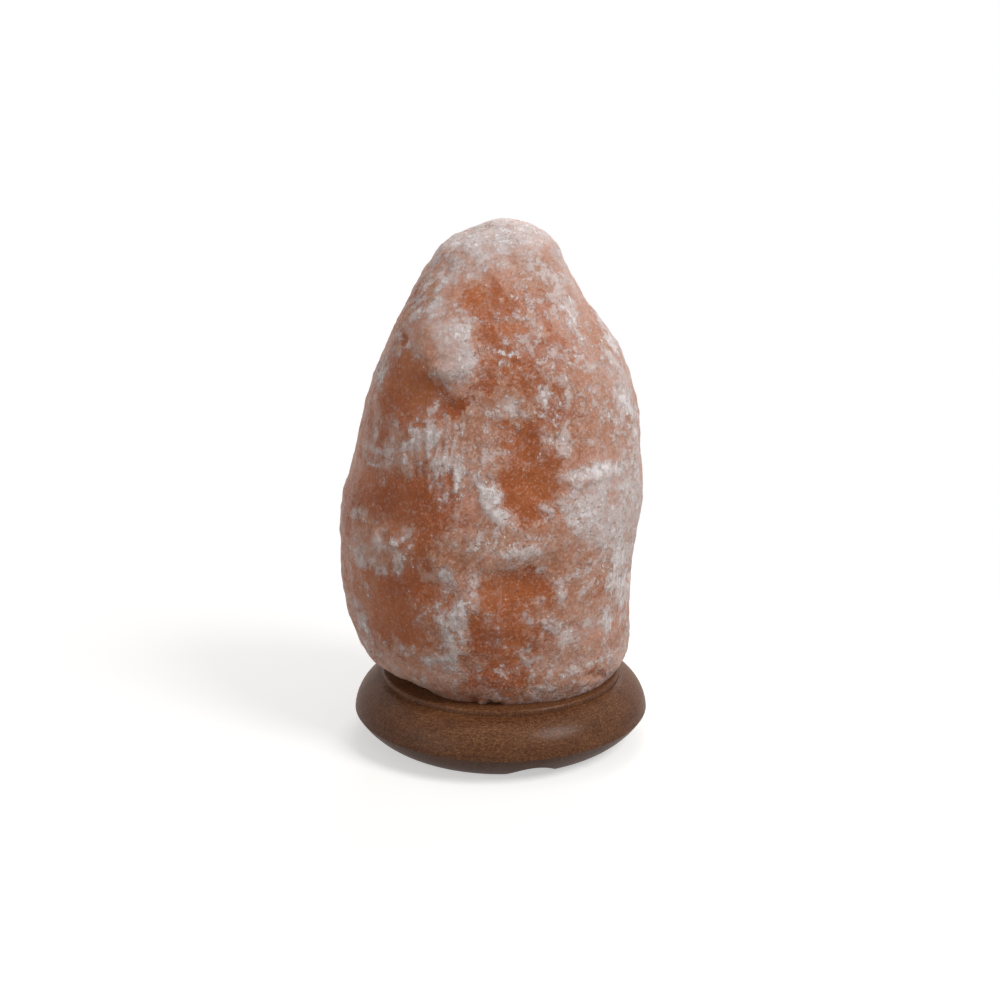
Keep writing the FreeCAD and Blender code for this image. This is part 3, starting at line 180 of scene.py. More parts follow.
crystal = dict(
    columns=380, wallRings=204, capRings=9, footRings=5, boreRings=17, bendRings=6,
    boreRadius=24.0, boreTop=117.4, boreRound=6.0, dome=2.2,
    heights=(0, 6, 20, 38, 58, 78, 98, 118, 138, 156, 172, 184, 190.5),  # over the foot
    reaches=(  # from the bore's axis, a row for each height: front, then by eighths of a turn to the right
        (44, 47, 49, 47, 43, 45, 45, 45),
        (48, 51, 53, 51, 48, 51.5, 54, 52),
        (51, 54, 54.5, 53, 51, 58, 62.5, 57.5),
        (54, 55, 55, 53, 52, 60, 67.5, 60),
        (54, 56, 57, 56, 53, 61, 67.5, 61),
        (53, 57, 59, 57, 52, 58, 65.5, 60),
        (50, 55, 58, 55, 50, 55, 60, 56),
        (46, 51, 55.5, 50, 46, 50, 55, 53),
        (42, 45, 48.5, 44, 41, 43, 47.5, 49),
        (35, 35, 35.5, 33, 33, 35, 39, 41),
        (25, 26, 26, 24, 25, 27, 29, 29),
        (15, 18, 19, 16, 15, 17, 17.5, 17),
        (4, 7, 9, 6, 4, 2, 1.2, 2),
    ),
    meanReach=55.0,  # makes a spot's turn a way along the skin

    # each spot: turn from the front (degrees, to the right), height, half width, half tallness, tilt
    # (degrees, leaning right), steepness of its edge, and amount. The heights are over the table, but the
    # forms' are over the foot
    forms=(  # millimetres out of the sections
        (-33, 146.5, 13, 9, 10, 2.5, 2.0), (-36, 127.5, 17, 8, -12, 2.5, -3.2),  # brow, and hollow under it
        (-18, 166.5, 13, 7, 0, 3, -1.0), (12, 92, 12, 15, 0, 3, -1.9),  # dishes by the crown and middle
        (4, 66, 14, 5, 0, 2, 1.3), (5, 53, 12, 8, 0, 2, -2.0),  # ledge, and the hollow under it
        (-46, 80, 16, 9, -6, 3, -1.5), (-27, 51, 9, 8, 0, 3, -1.3),  # dishes on the left
        (-55, 0.5, 22, 6, -4, 3, -3.2),  # the heel clears the wood
        (150, 121.5, 20, 10, 8, 3, -2.8), (178, 90, 15, 6, 6, 3, 1.5), (205, 66, 16, 12, -10, 3, -2.0),
        (112, 84, 13, 11, 0, 3, -1.6), (246, 100, 13, 10, 10, 3, -1.6), (238, 32, 14, 9, 0, 3, -1.6),
    ),
    sunk=0.5,  # the worn skin lies this far inside the rough outline, so that its bumps stay in it
    marks=(  # millimetres out of the worn skin
        (-35, 165, 14, 2.5, -10, 3, 0.4),  # the brow's lower lip
        (-23, 162, 8, 9, 10, 4, 1.8),  # the brow's right end, hanging down
        (-16, 68, 4.5, 17, 22, 3, 1.2),  # rib leaning down to the left
        (-3, 118, 4, 13, -26, 3, 0.8),  # rib leaning down to the right
        (42, 121, 13, 2.5, 0, 3, 0.9),  # level rib on the right
        (76, 75, 7, 2.2, 0, 3, -1.6),  # nick in the right edge
        (55, 82, 2, 8, 14, 2, 0.8),  # upright rib on the right
        (50, 37, 9, 3, 25, 3, -1.3),  # ledge over the heel
        (4, 176, 6, 0.5, 4, 3, -0.7), (10, 170, 8, 0.5, 2, 3, -0.7),  # level scratches
        (0, 164, 5, 0.6, 4, 3, -0.6),
        (-44, 98, 2.2, 2.2, 0, 3, 0.9), (-54, 96, 2, 2, 0, 3, 0.7),  # two pale knobs
        (-52, 175, 2.6, 2.2, 30, 4, -1.1),  # chip
        (-44, 28.5, 5, 3, 0, 4, -2.0), (-18, 28.5, 5, 2.2, 0, 4, -2.0),  # chips in the lower edge
        (-4, 28.5, 4, 1.8, 0, 4, -2.2),
        (9, 139, 8, 8, 0, 4, -0.9),  # shallow dish over the middle one
        (68, 165, 5, 26, -12, 2, 0.8),  # edge between the front and the right side
        (130, 70, 5, 20, 14, 3, 1.2), (225, 165, 5, 16, -16, 3, 1.2),  # ribs and a ledge at the back
        (160, 45, 17, 5, -5, 4, 1.2),
    ),
    swells=((34, 0.6), (15, 0.35), (6.5, 0.2), (3.0, 0.14)),  # size and height of each grade of unevenness
    creases=((13, 0.55), (6, 0.3), (2.9, 0.2)), creaseMean=0.3,  # taken off, so that the skin stays in place
    scoops=((17, 0.6), (7, 0.3)), scoopMean=0.55,
    frays=((13, 3.2), (5, 2.1), (2.2, 1.0)),  # size and reach of the shifts that break up the spots' edges
    combed=((-25, 133, 17, 19, 0, 4, 1.0),), grooveSpacing=3.4, grooveDepth=0.3,
    grooveWander=(6, 1.2),  # size and reach of the noise that the grooves follow
    seeds=dict(swell=7, crease=31, fray=40, scoop=60, wander=90),
    seedStep=4,  # from one grade of frays or scoops to the next, because each grade takes three seeds
    standRun=5, standLimit=1.2,  # how far a point stands out is measured over so many columns, up to a limit
    tipCalm=0.6,  # share of the relief that the tip loses
    flatFoot=2.5,  # below this height over the foot the relief moves the skin less and less up or down
    unseenCoat=0.45, tipCoat=0.6,  # level of both coats in the bore and on the sole, and at the tip

    # the two coats of the skin. A coat's level is a base, its spots, a drifting noise, a share of how far a
    # point stands out, and rises (start, end, amount) to the right, up to the tip and down to the foot. Where
    # the level passes the edge, the coat is as thick as given
    film=dict(  # bruised, clouded salt
        base=0.48, spotShare=1.0, driftSize=20, driftAmount=0.3, driftFall=0.6, seed=21, standShare=0.16,
        rightward=(12, 58, 0.35), tipward=(192, 212, 0.75), footward=(-9, 0, 0.3),
        edge=(0.4, 0.6), thickness=0.16,
        spots=(
            # clouded places
            (24, 216, 30, 10, 0, 2, 0.5), (50, 187, 13, 10, 0, 3, 0.45), (66, 196, 16, 14, 0, 2, 0.6),
            (3, 153, 11, 6, 0, 3, 0.5), (-38, 194, 8, 9, 0, 3, 0.5), (-40, 183, 14, 7, -10, 3, 0.5),
            (-27, 176, 9, 10, -10, 3, 0.5), (-27, 140, 19, 9, 0, 3, 0.5), (-10, 125, 6, 14, -18, 3, 0.5),
            (0, 114, 5, 12, -30, 3, 0.6), (44, 122, 16, 7, 0, 2, 0.45), (73, 148, 8, 19, -8, 3, 0.4),
            (-24, 170, 8, 10, 0, 3.5, 0.6), (5, 94, 16, 5, 0, 3, 0.6), (-16, 68, 7, 18, 20, 3, 0.5),
            (-78, 85, 6, 40, 0, 2, 0.1), (-30, 49, 12, 7, 0, 3, 0.35), (75, 110, 34, 60, 0, 3, 0.3),
            (32, 50, 18, 16, 0, 3, 0.35), (-56, 92, 14, 8, 0, 3, 0.35), (36, 100, 18, 16, 0, 3, 0.35),
            (-22, 86, 9, 6, 10, 3, 0.45), (28, 143, 12, 8, -30, 3, 0.35), (-66, 158, 8, 8, 0, 3, 0.3),
            (-50, 34, 20, 7, -6, 3, 0.35),
            # deep, glassy places
            (-18, 194, 13, 9, 0, 3, -0.6), (-6, 184, 14, 8, 0, 3, -0.3), (-48, 158, 12, 10, -15, 4, -1.2),
            (-31, 152.5, 14, 5, -8, 3, -0.9), (10, 138, 9, 9, 0, 3.5, -0.7), (12, 120, 12, 14, 0, 3, -0.65),
            (-46, 117, 19, 8, -4, 3.5, -1.1), (-29, 110, 12, 9, 20, 3, -0.6), (-40, 78, 12, 10, 0, 3, -0.7),
            (-60, 74, 8, 9, 0, 3, -0.4), (5, 80, 12, 7, 0, 3, -0.9), (2, 63, 12, 12, 10, 3, -0.5),
            (0, 43, 18, 7, 0, 3, -0.45), (-42, 60, 12, 7, 0, 3, -0.4), (32, 152, 11, 9, 0, 3, -0.35),
            (18, 172, 14, 8, 0, 3, -0.35), (40, 88, 8, 5, 0, 3, -0.3), (62, 60, 9, 12, 0, 2.5, -0.35),
            (-58, 145, 7, 7, 0, 3, -0.3), (-77, 92, 7, 30, 0, 3, -0.2),
            # the sides and the back
            (95, 150, 10, 16, 12, 3, -0.6), (112, 96, 13, 10, 0, 3, -0.7), (84, 58, 10, 9, 0, 3, -0.4),
            (122, 52, 15, 9, -8, 3, -0.7), (104, 190, 10, 10, 0, 3, -0.4), (150, 172, 13, 14, 0, 3, -0.8),
            (180, 122, 15, 13, 10, 3, -0.8), (203, 82, 12, 15, -10, 3, -0.8), (160, 60, 15, 10, 6, 3, -0.7),
            (226, 142, 12, 13, 0, 3, -0.8), (213, 186, 10, 10, 0, 3, -0.5), (242, 70, 13, 13, 8, 3, -0.7),
            (262, 122, 10, 15, 0, 3, -0.6), (187, 38, 17, 6, 0, 3, -0.4), (131, 130, 10, 22, 10, 3, 0.5),
            (168, 92, 13, 9, 0, 3, 0.5), (206, 112, 14, 8, -12, 3, 0.5), (237, 104, 9, 15, 0, 3, 0.5),
            (190, 150, 15, 7, 4, 3, 0.5), (252, 172, 8, 14, 0, 3, 0.5), (141, 88, 7, 15, 14, 3, 0.4),
            (214, 52, 12, 9, 0, 3, 0.5),
        ),
    ),

    crust=dict(  # white and sugary, where the grains stand open
        base=0.34, spotShare=0.75, driftSize=10, driftAmount=0.18, driftFall=0.8, seed=71, standShare=0.14,
        rightward=(15, 55, 0.12), tipward=(196, 217, 0.2), footward=(-7, 0, 0.1),
        edge=(0.42, 0.6), thickness=0.24,
        spots=(
            # sugary places
            (24, 217, 30, 7, 0, 2, 0.3), (50, 187, 9, 8, 0, 2, 0.5), (78, 173, 5, 7, 0, 2, 0.4),
            (-42, 197, 4, 8, -10, 3, 0.5), (-48, 187, 8, 4, -20, 2.5, 0.4), (-27, 181, 5, 7, -15, 2.5, 0.45),
            (5, 175, 9, 1.6, 3, 2, 0.55), (44, 171, 5, 2, 0, 2, 0.3), (21, 158, 2.4, 6, 0, 2.5, 0.55),
            (0, 152, 8, 3.5, 0, 2.5, 0.65), (-28, 143, 13, 5, 0, 2.5, 0.4), (-22, 170, 5, 8, 0, 2.5, 0.35),
            (-40.6, 141, 1.1, 8, 4, 2, 0.6), (-25, 132, 1.1, 9, 2, 2, 0.55), (-34, 136, 1.1, 9, 3, 2, 0.5),
            (-29.5, 130, 1, 11, 2, 2, 0.5), (-21, 135, 1.1, 8, 0, 2, 0.5), (-16.5, 128, 1.2, 11, -4, 2, 0.5),
            (26, 141, 7, 5, -30, 2, 0.4), (44, 124, 14, 3.2, 3, 2, 0.75), (-6, 123, 3.5, 7, -25, 2, 0.45),
            (0, 115, 4, 6, -30, 2, 0.6), (35, 107, 7, 6, 20, 2, 0.35), (-12, 104, 5, 5, 0, 2, 0.3),
            (6, 95, 14, 3, 0, 2.5, 0.35), (60, 86, 7, 16, -5, 2, 0.55), (-24, 87, 6, 3.5, 20, 2.5, 0.5),
            (-62, 85, 6, 2.5, 0, 2, 0.45), (-64, 106, 6, 3, 0, 2, 0.4), (-67, 160, 5, 3, 10, 2, 0.35),
            (-17, 68, 4.5, 13, 18, 2, 0.4), (24, 66, 6, 4, 0, 2, 0.35), (52, 60, 4, 8, 0, 2.5, 0.45),
            (-33, 50, 4.5, 2.2, 0, 2.5, 0.6), (-39, 54, 1.3, 4, 15, 2, 0.55), (-66, 56, 4, 4, 0, 2, 0.4),
            (2, 55, 5, 3, 0, 2, 0.35), (36, 42, 8, 5, 0, 2, 0.3), (69, 142, 6, 18, -6, 2, 0.4),
            (-61, 126, 4.5, 0.8, -6, 2, 0.5), (-44, 98, 2.4, 2.4, 0, 2.5, 0.4),
            (-54, 96, 2.1, 2.1, 0, 2.5, 0.35),
            (56, 84, 2.5, 9, 14, 2, 0.3), (16, 84, 3, 4, 10, 2, 0.35),
            # and places almost free of it
            (12, 121, 11, 13, 0, 3.5, -0.4), (-48, 158, 12, 9, -15, 3.5, -0.6),
            (-46, 117, 17, 8, -4, 3, -0.55),
            (-18, 194, 11, 7, 0, 3, -0.25), (2, 63, 9, 12, 0, 3, -0.2), (-46, 60, 12, 9, 0, 3, -0.3),
            (-40, 78, 10, 9, 0, 3, -0.4), (5, 80, 10, 6, 0, 3, -0.25), (-80, 105, 9, 60, 0, 2, -0.3),
            (60, 56, 12, 12, 0, 2, -0.15),
            # the sides and the back
            (128, 122, 6, 17, 8, 2, 0.5), (172, 97, 11, 4, 5, 2, 0.55), (196, 152, 12, 3, 4, 2, 0.6),
            (238, 104, 5, 13, 0, 2, 0.5), (148, 80, 4, 12, 12, 2, 0.5), (220, 62, 10, 5, -8, 2, 0.5),
            (181, 60, 4, 9, 0, 2, 0.4), (250, 40, 12, 4, 0, 2, 0.4), (110, 174, 5, 9, 0, 2, 0.4),
            (160, 200, 8, 5, 0, 2, 0.3), (93, 112, 9, 3, 0, 2, 0.35), (206, 170, 4, 9, -10, 2, 0.45),
            (150, 172, 10, 12, 0, 3, -0.3), (180, 122, 13, 11, 8, 3, -0.3), (203, 82, 10, 13, -8, 3, -0.3),
            (160, 58, 13, 8, 4, 3, -0.3), (226, 142, 10, 11, 0, 3, -0.3), (242, 70, 11, 11, 6, 3, -0.3),
            (112, 96, 11, 9, 0, 3, -0.3), (120, 52, 13, 8, -6, 3, -0.3), (95, 150, 8, 13, 8, 3, -0.25),
            (18, 172, 12, 6, 0, 3, -0.1),
        ),
    ),
)


def spotField(turn, height, spots):
    # the sum of smooth spots on the unrolled skin: each falls from its middle by exp(-distance^steepness)
    total = np.zeros(np.broadcast(turn, height).shape)
    for middle, level, wide, tall, tilt, steep, amount in spots:
        aside = np.radians((turn - middle + 180) % 360 - 180) * crystal["meanReach"]
        up = height - level
        lean = math.radians(tilt)
        across = (aside * math.cos(lean) - up * math.sin(lean)) / wide
        along = (aside * math.sin(lean) + up * math.cos(lean)) / tall
        total += amount * np.exp(-np.hypot(across, along) ** steep)
    return total


def crystalRings(stone, foot):
    # the reach is eased round the eight directions, then up through the sections; the rings start at the
    # closed end of the bore, go down it, out over the foot, up the wall and over the tip
    turns = np.arange(stone["columns"]) * 360 / stone["columns"]
    sections = np.array(stone["reaches"], float).T
    wrapped = np.concatenate([sections[-2:], sections, sections[:3]])
    atTurns = easedThrough(np.arange(-2, 11) * 45.0, wrapped, turns).T
    heights = np.array(stone["heights"], float)
    wallTop = heights[-1] - stone["dome"]
    fine = np.linspace(0, wallTop, 2000)  # fine steps, along which the rings are set evenly over the wall
    outline = easedThrough(heights, atTurns, fine).mean(axis=1)
    run = np.concatenate([[0], np.cumsum(np.hypot(np.diff(outline), np.diff(fine)))])
    levels = np.interp(np.linspace(0, run[-1], stone["wallRings"]), run, fine)
    wall = easedThrough(heights, atTurns, levels)
    wall += spotField(turns, levels[:, None], stone["forms"])
    angle = np.radians(turns)
    ahead = np.stack([np.sin(angle), -np.cos(angle)], axis=-1)

    def ring(reach, height):
        flat = reach[..., None] * ahead
        level = np.broadcast_to(np.asarray(height)[..., None, None], (*flat.shape[:-1], 1))
        return np.concatenate([flat, level], axis=-1)

    shell = ring(wall, foot + levels)
    middle = shell[-1, :, :2].mean(axis=0)
    left = np.linspace(1, 0, stone["capRings"] + 2)[1:-1]  # share of the last ring's reach, over a parabola
    cap = np.empty((stone["capRings"], stone["columns"], 3))
    cap[..., :2] = middle + left[:, None, None] * (shell[-1, :, :2] - middle)
    cap[..., 2] = foot + wallTop + (stone["dome"] * (1 - left ** 2))[:, None]
    radius, top, corner = stone["boreRadius"], stone["boreTop"], stone["boreRound"]
    bend = np.linspace(math.pi / 2, 0, stone["bendRings"] + 1)[1:]
    down = np.linspace(top - corner, foot, stone["boreRings"] + 1)[1:]
    boreReach = np.concatenate([radius - corner * (1 - np.cos(bend)), np.full(len(down), radius)])
    boreLevel = np.concatenate([top - corner * (1 - np.sin(bend)), down])
    bore = ring(np.repeat(boreReach[:, None], stone["columns"], axis=1), boreLevel)
    share = np.linspace(0, 1, stone["footRings"] + 2)[1:-1, None]
    sole = ring(radius + share * (wall[0] - radius), np.full(stone["footRings"], foot))
    return bore, sole, shell, cap, (*middle, foot + heights[-1])


def outwardOf(skin):
    # across a grid of points, the direction square to both of its lines
    up = np.gradient(skin, axis=0)
    beside = (np.roll(skin, -1, axis=1) - np.roll(skin, 1, axis=1)) / 2
    outward = np.cross(beside, up)
    return outward / (np.linalg.norm(outward, axis=-1, keepdims=True) + 1e-9)


def crystalRelief(stone, skin, turn, height):
    # how far the worn skin stands out: its marks, soft swells, creases where a noise crosses zero, bowls that
    # meet in sharp rims, and upright grooves, a sine of the sideways place, where the stone was combed
    seeds = stone["seeds"]
    relief = spotField(turn, height, stone["marks"])
    for grade, (size, tall) in enumerate(stone["swells"]):
        relief += tall * softNoise(skin, size, seeds["swell"] + grade)
    for grade, (size, tall) in enumerate(stone["creases"]):
        relief += tall * (np.abs(softNoise(skin, size, seeds["crease"] + grade)) - stone["creaseMean"])
    for grade, (size, deep) in enumerate(stone["scoops"]):
        seed = seeds["scoop"] + stone["seedStep"] * grade
        relief += deep * (scoopNoise(skin, size, seed) - stone["scoopMean"])
    size, reach = stone["grooveWander"]
    upright = (1, 1, 0.25)  # the grooves wander slowly on their way up
    wander = skin[..., 0] + reach * softNoise(skin * upright, size, seeds["wander"])
    grooves = 1 + np.sin(wander * 2 * math.pi / stone["grooveSpacing"])
    return relief - stone["grooveDepth"] * spotField(turn, height, stone["combed"]) * grooves


def coatLevel(coat, skin, turn, height, foot, stand):
    # the coat's base, spots, drift, share of what stands out, and eased rises, added up
    level = coat["base"] + coat["spotShare"] * spotField(turn, height, coat["spots"])
    level += coat["driftAmount"] * roughNoise(skin, coat["driftSize"], coat["seed"], coat["driftFall"])
    level += coat["standShare"] * stand
    rises = ((skin[..., 0], coat["rightward"]), (height, coat["tipward"]), (foot - height, coat["footward"]))
    for way, (start, end, amount) in rises:
        level += amount * smoothRise(way, start, end)
    return level


def frayedSkin(stone, skin):
    # the skin's points shifted by soft noise along each axis, which breaks up the edges of the spots
    shift = np.zeros(skin.shape)
    for grade, (size, reach) in enumerate(stone["frays"]):
        seed = stone["seeds"]["fray"] + stone["seedStep"] * grade
        for k in range(3):
            shift[..., k] += reach * softNoise(skin, size, seed + k)
    return skin + shift


def makeCrystal(stone):
    low, high = (np.array(corner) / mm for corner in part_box("salt_crystal"))
    foot = low[2]
    bore, sole, shell, cap, tip = crystalRings(stone, foot)
    skin = np.concatenate([shell, cap])
    frayed = frayedSkin(stone, skin)
    turn = np.degrees(np.arctan2(frayed[..., 0], -frayed[..., 1]))
    height = frayed[..., 2]
    relief = crystalRelief(stone, skin, turn, height)
    run, limit = stone["standRun"], stone["standLimit"]
    beside = (np.roll(relief, run, axis=1) + np.roll(relief, -run, axis=1)) / 2
    stand = np.clip(relief - beside, -limit, limit)
    levels = {}
    for name in ("film", "crust"):
        levels[name] = coatLevel(stone[name], skin, turn, height, foot, stand)
        relief += stone[name]["thickness"] * smoothRise(levels[name], *stone[name]["edge"])

    # the relief calms down over the tip, and the foot stays flat on the wood
    rings, calm = len(skin), stone["tipCalm"]
    fade = 1 - calm * smoothRise(np.arange(rings), rings - 2 * stone["capRings"], rings - 1)
    step = outwardOf(skin) * ((relief - stone["sunk"]) * fade[:, None])[..., None]
    step[..., 2] *= smoothRise(skin[..., 2], foot, foot + stone["flatFoot"])
    skin = np.clip(skin + step, low, high)
    bed = (0, 0, stone["boreTop"])
    piece = closedSkin("salt_block", np.concatenate([bore, sole, skin]), bed, np.minimum(tip, high))
    unseen = np.full((len(bore) + len(sole)) * stone["columns"], stone["unseenCoat"])
    ends = [stone["unseenCoat"], stone["tipCoat"]]
    for name, level in levels.items():
        values = np.concatenate([unseen, level.ravel(), ends]).astype(np.float32)
        piece.data.attributes.new(name, "FLOAT", "POINT").data.foreach_set("value", values)
    return piece


salt = dict(
    mottleSize=19.0, cloudSize=7.5, crumbSize=2.4, sugarSize=1.0,  # of the noises
    flakeSize=2.8, flakeShake=1.4, grainSize=0.8, paintedGlintSize=1.1, dirtSize=12.0,  # of the cells
    strokeWide=1.2, strokeLong=5.0, uprightLean=(0.2, 0.15, 0.0), levelLean=(0.1, 0.2, 0.4),
    reliefDepth=0.8, grainTilt=0.4,
    deep=((0.35, "#a2501f"), (0.65, "#ba6b3c")), clouded=((0.35, "#b98263"), (0.65, "#cd957f")),
    # the glint colour is a painted highlight, and the grain colour is pale grains partly painted as sparkle
    veil="#dccac6", bare="#faf2f2", grain="#e3d2c9", paintedGlint="#f8f0ea", dirt="#4a3226",
)


def rockSalt(salt):
    # rock salt, split and rubbed down: glassy deep orange where it is sound, clouded salmon where it is
    # bruised, and a sugary white crust where the grains stand open, in short strokes along its cleavage
    material, tree, shader, place = startMaterial("rock_salt", {
        "IOR": 1.54, "Specular IOR Level": 0.22, "Sheen Weight": 0.03, "Sheen Roughness": 0.4,
        "Subsurface Weight": 0.35, "Subsurface Scale": 0.004, "Subsurface Radius": (1.0, 0.75, 0.6)})
    film, crust = (
        addNode(tree, "Attribute", {"attribute_name": name}).outputs["Fac"] for name in ("film", "crust"))

    drifts = {}
    for name, detail, rough, twist in (
            ("mottle", 4.0, 0.5, 0.0), ("cloud", 3.0, 0.5, 0.3),
            ("crumb", 4.0, 0.55, 0.4), ("sugar", 3.0, 0.6, 0.2)):
        drifts[name] = addNode(tree, "TexNoise", inputs={
            "Vector": place, "Scale": 1 / (salt[name + "Size"] * mm), "Detail": detail, "Roughness": rough,
            "Distortion": twist}).outputs
    cloud, crumb = drifts["cloud"]["Fac"], drifts["crumb"]["Fac"]
    shaken = addNode(tree, "VectorMath", {"operation": "MULTIPLY_ADD"}, {
        0: drifts["crumb"]["Color"], 1: (salt["flakeShake"] * mm,) * 3, 2: place}).outputs[0]
    cells = {}
    for name, field in (("flake", shaken), ("grain", place), ("paintedGlint", place), ("dirt", place)):
        cells[name] = addNode(tree, "TexVoronoi", inputs={
            "Vector": field, "Scale": 1 / (salt[name + "Size"] * mm)}).outputs
    flake, grain, paintedGlint = (  # three numbers for each cell
        addNode(tree, "SeparateColor", inputs={"Color": cells[name]["Color"]}).outputs
        for name in ("flake", "grain", "paintedGlint"))
    strokes = []
    thin = salt["strokeWide"] / salt["strokeLong"]
    for lean, squeeze in ((salt["uprightLean"], (1, 1, thin)), (salt["levelLean"], (thin, thin, 1))):
        along = addNode(tree, "Mapping", inputs={"Vector": place, "Rotation": lean, "Scale": squeeze})
        strokes.append(addNode(tree, "TexNoise", inputs={
            "Vector": along.outputs[0], "Scale": 1 / (salt["strokeWide"] * mm), "Detail": 4.0,
            "Roughness": 0.65}).outputs["Fac"])
    upright, level = strokes

    # how much of the film, of the crust and of the bare grains there is, from the coats and the patterns
    filmSum = weighedSum(tree, -0.7, (film, 1.0), (cloud, 0.7), (flake[0], 0.3), (crumb, 0.35),
                         (grain[0], 0.08))
    crustSum = weighedSum(tree, -0.9, (crust, 1.0), (crumb, 0.3), (cloud, 0.8), (flake[1], 0.2),
                          (upright, 0.15), (level, 0.15), (grain[1], 0.15))
    flakeSum = weighedSum(tree, -1.08, (crust, 1.0), (crumb, 1.0), (cloud, 0.8), (flake[1], 0.35),
                          (grain[1], 0.08))
    bareSum = weighedSum(tree, -2.35, (crust, 1.1), (upright, 1.9), (level, 0.8), (crumb, 1.4),
                         (grain[1], 0.15))
    # painted highlight: the glints are small bright specks laid into the colour, not lit by the lamps
    paintedGlintReach = weighedSum(tree, 0.0, (cells["paintedGlint"]["Distance"], 1.0), (paintedGlint[1], -0.3), (upright, 0.6))
    filmed, haze, pale, crusted, flaked, bare, sugar, near, dirt = (
        addNode(tree, "MapRange", eased, {
            "Value": value, "From Min": start, "From Max": end, "To Min": low, "To Max": high}).outputs[0]
        for value, start, end, low, high in (
            (filmSum, 0.44, 0.51, 0.0, 1.0),
            (filmSum, 0.05, 0.95, 0.1, 1.0),
            (filmSum, 0.8, 1.5, 0.0, 1.0),
            (crustSum, 0.08, 0.85, 0.0, 1.0),
            (flakeSum, 0.52, 0.6, 0.0, 1.0),
            (bareSum, 0.54, 0.74, 0.0, 1.0),
            (drifts["sugar"]["Fac"], 0.34, 0.66, 0.5, 1.0),
            (paintedGlintReach, 0.14, 0.4, 1.0, 0.0),
            (cells["dirt"]["Distance"], 0.02, 0.035, 0.8, 0.0)))
    # pale grains, partly a painted sparkle: a share of the fine cells is lightened in the colour
    grainSum = weighedSum(tree, 0.0, (grain[2], 1.0), (crusted, 0.15), (filmed, 0.1))
    paintedGlintSum = weighedSum(tree, -1.7, (paintedGlint[0], 1.0), (cloud, 1.5), (crumb, 1.6), (crusted, 0.15))
    grainAndPaintedSparkleCover, picked = (
        addNode(tree, "MapRange", eased, {
            "Value": value, "From Min": start, "From Max": end, "To Max": high}).outputs[0]
        for value, start, end, high in ((grainSum, 0.7, 1.1, 0.2), (paintedGlintSum, 0.84, 1.04, 1.0)))
    bareCover, paintedGlintCover = (
        addNode(tree, "Math", {"operation": "MULTIPLY"}, {0: one, 1: other}).outputs[0]
        for one, other in ((bare, sugar), (near, picked)))

    # the colours, each laid over the one before
    colour, clouded = (
        addNode(tree, "ValToRGB", inputs={"Fac": drifts["mottle"][way]}, stops=stops).outputs["Color"]
        for way, stops in (("Fac", salt["deep"]), ("Color", salt["clouded"])))
    for cover, over in (
            (weighedSum(tree, 0.0, (filmed, 0.42), (haze, 0.54)), clouded),
            (weighedSum(tree, 0.0, (crusted, 0.5), (flaked, 0.36), (pale, 0.52)), linearColour(salt["veil"])),
            (bareCover, linearColour(salt["bare"])), (grainAndPaintedSparkleCover, linearColour(salt["grain"])),
            (paintedGlintCover, linearColour(salt["paintedGlint"])), (dirt, linearColour(salt["dirt"]))):
        colour = addNode(tree, "Mix", {"data_type": "RGBA"}, {0: cover, 6: colour, 7: over}).outputs[2]
    tree.links.new(colour, shader.inputs["Base Color"])
    rough = addNode(tree, "MapRange", inputs={"Value": crusted, "To Min": 0.4, "To Max": 0.6})
    tree.links.new(rough.outputs[0], shader.inputs["Roughness"])

    # each grain's face is tilted its own way, and flakes, film and crust stand a little proud of the rest
    tilt = addNode(tree, "VectorMath", {"operation": "MULTIPLY_ADD"}, {
        0: cells["grain"]["Color"], 1: (salt["grainTilt"],) * 3, 2: (-salt["grainTilt"] / 2,) * 3})
    normal = addNode(tree, "NewGeometry").outputs["Normal"]
    leant = addNode(tree, "VectorMath", {"operation": "ADD"}, {0: normal, 1: tilt.outputs[0]})
    facing = addNode(tree, "VectorMath", {"operation": "NORMALIZE"}, {0: leant.outputs[0]})
    layers = weighedSum(tree, 0.0, (crusted, 0.3), (bare, 0.3), (filmed, 0.3), (flaked, 0.4), (crumb, 0.35))
    bump = addNode(tree, "Bump", inputs={
        "Strength": 0.75, "Distance": salt["reliefDepth"] * mm, "Height": layers,
        "Normal": facing.outputs[0]})
    tree.links.new(bump.outputs[0], shader.inputs["Normal"])
    return material


block = makeCrystal(crystal)
block.data.materials.append(rockSalt(salt))
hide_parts("salt_crystal")
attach(block, "stone_and_base")
print("salt crystal:", len(block.data.polygons), "faces")


board = dict(
    dashLong=1.6, dashWide=0.5, curlSize=0.75, streakLong=50.0, streakWide=6.0, streakLean=(0.0, 0.05, 0.12),
    toolPitch=0.9, grooveDepth=0.12,
    tones=((0.2, "#40200e"), (0.42, "#59341d"), (0.58, "#6e462b"), (0.85, "#946845")),
)


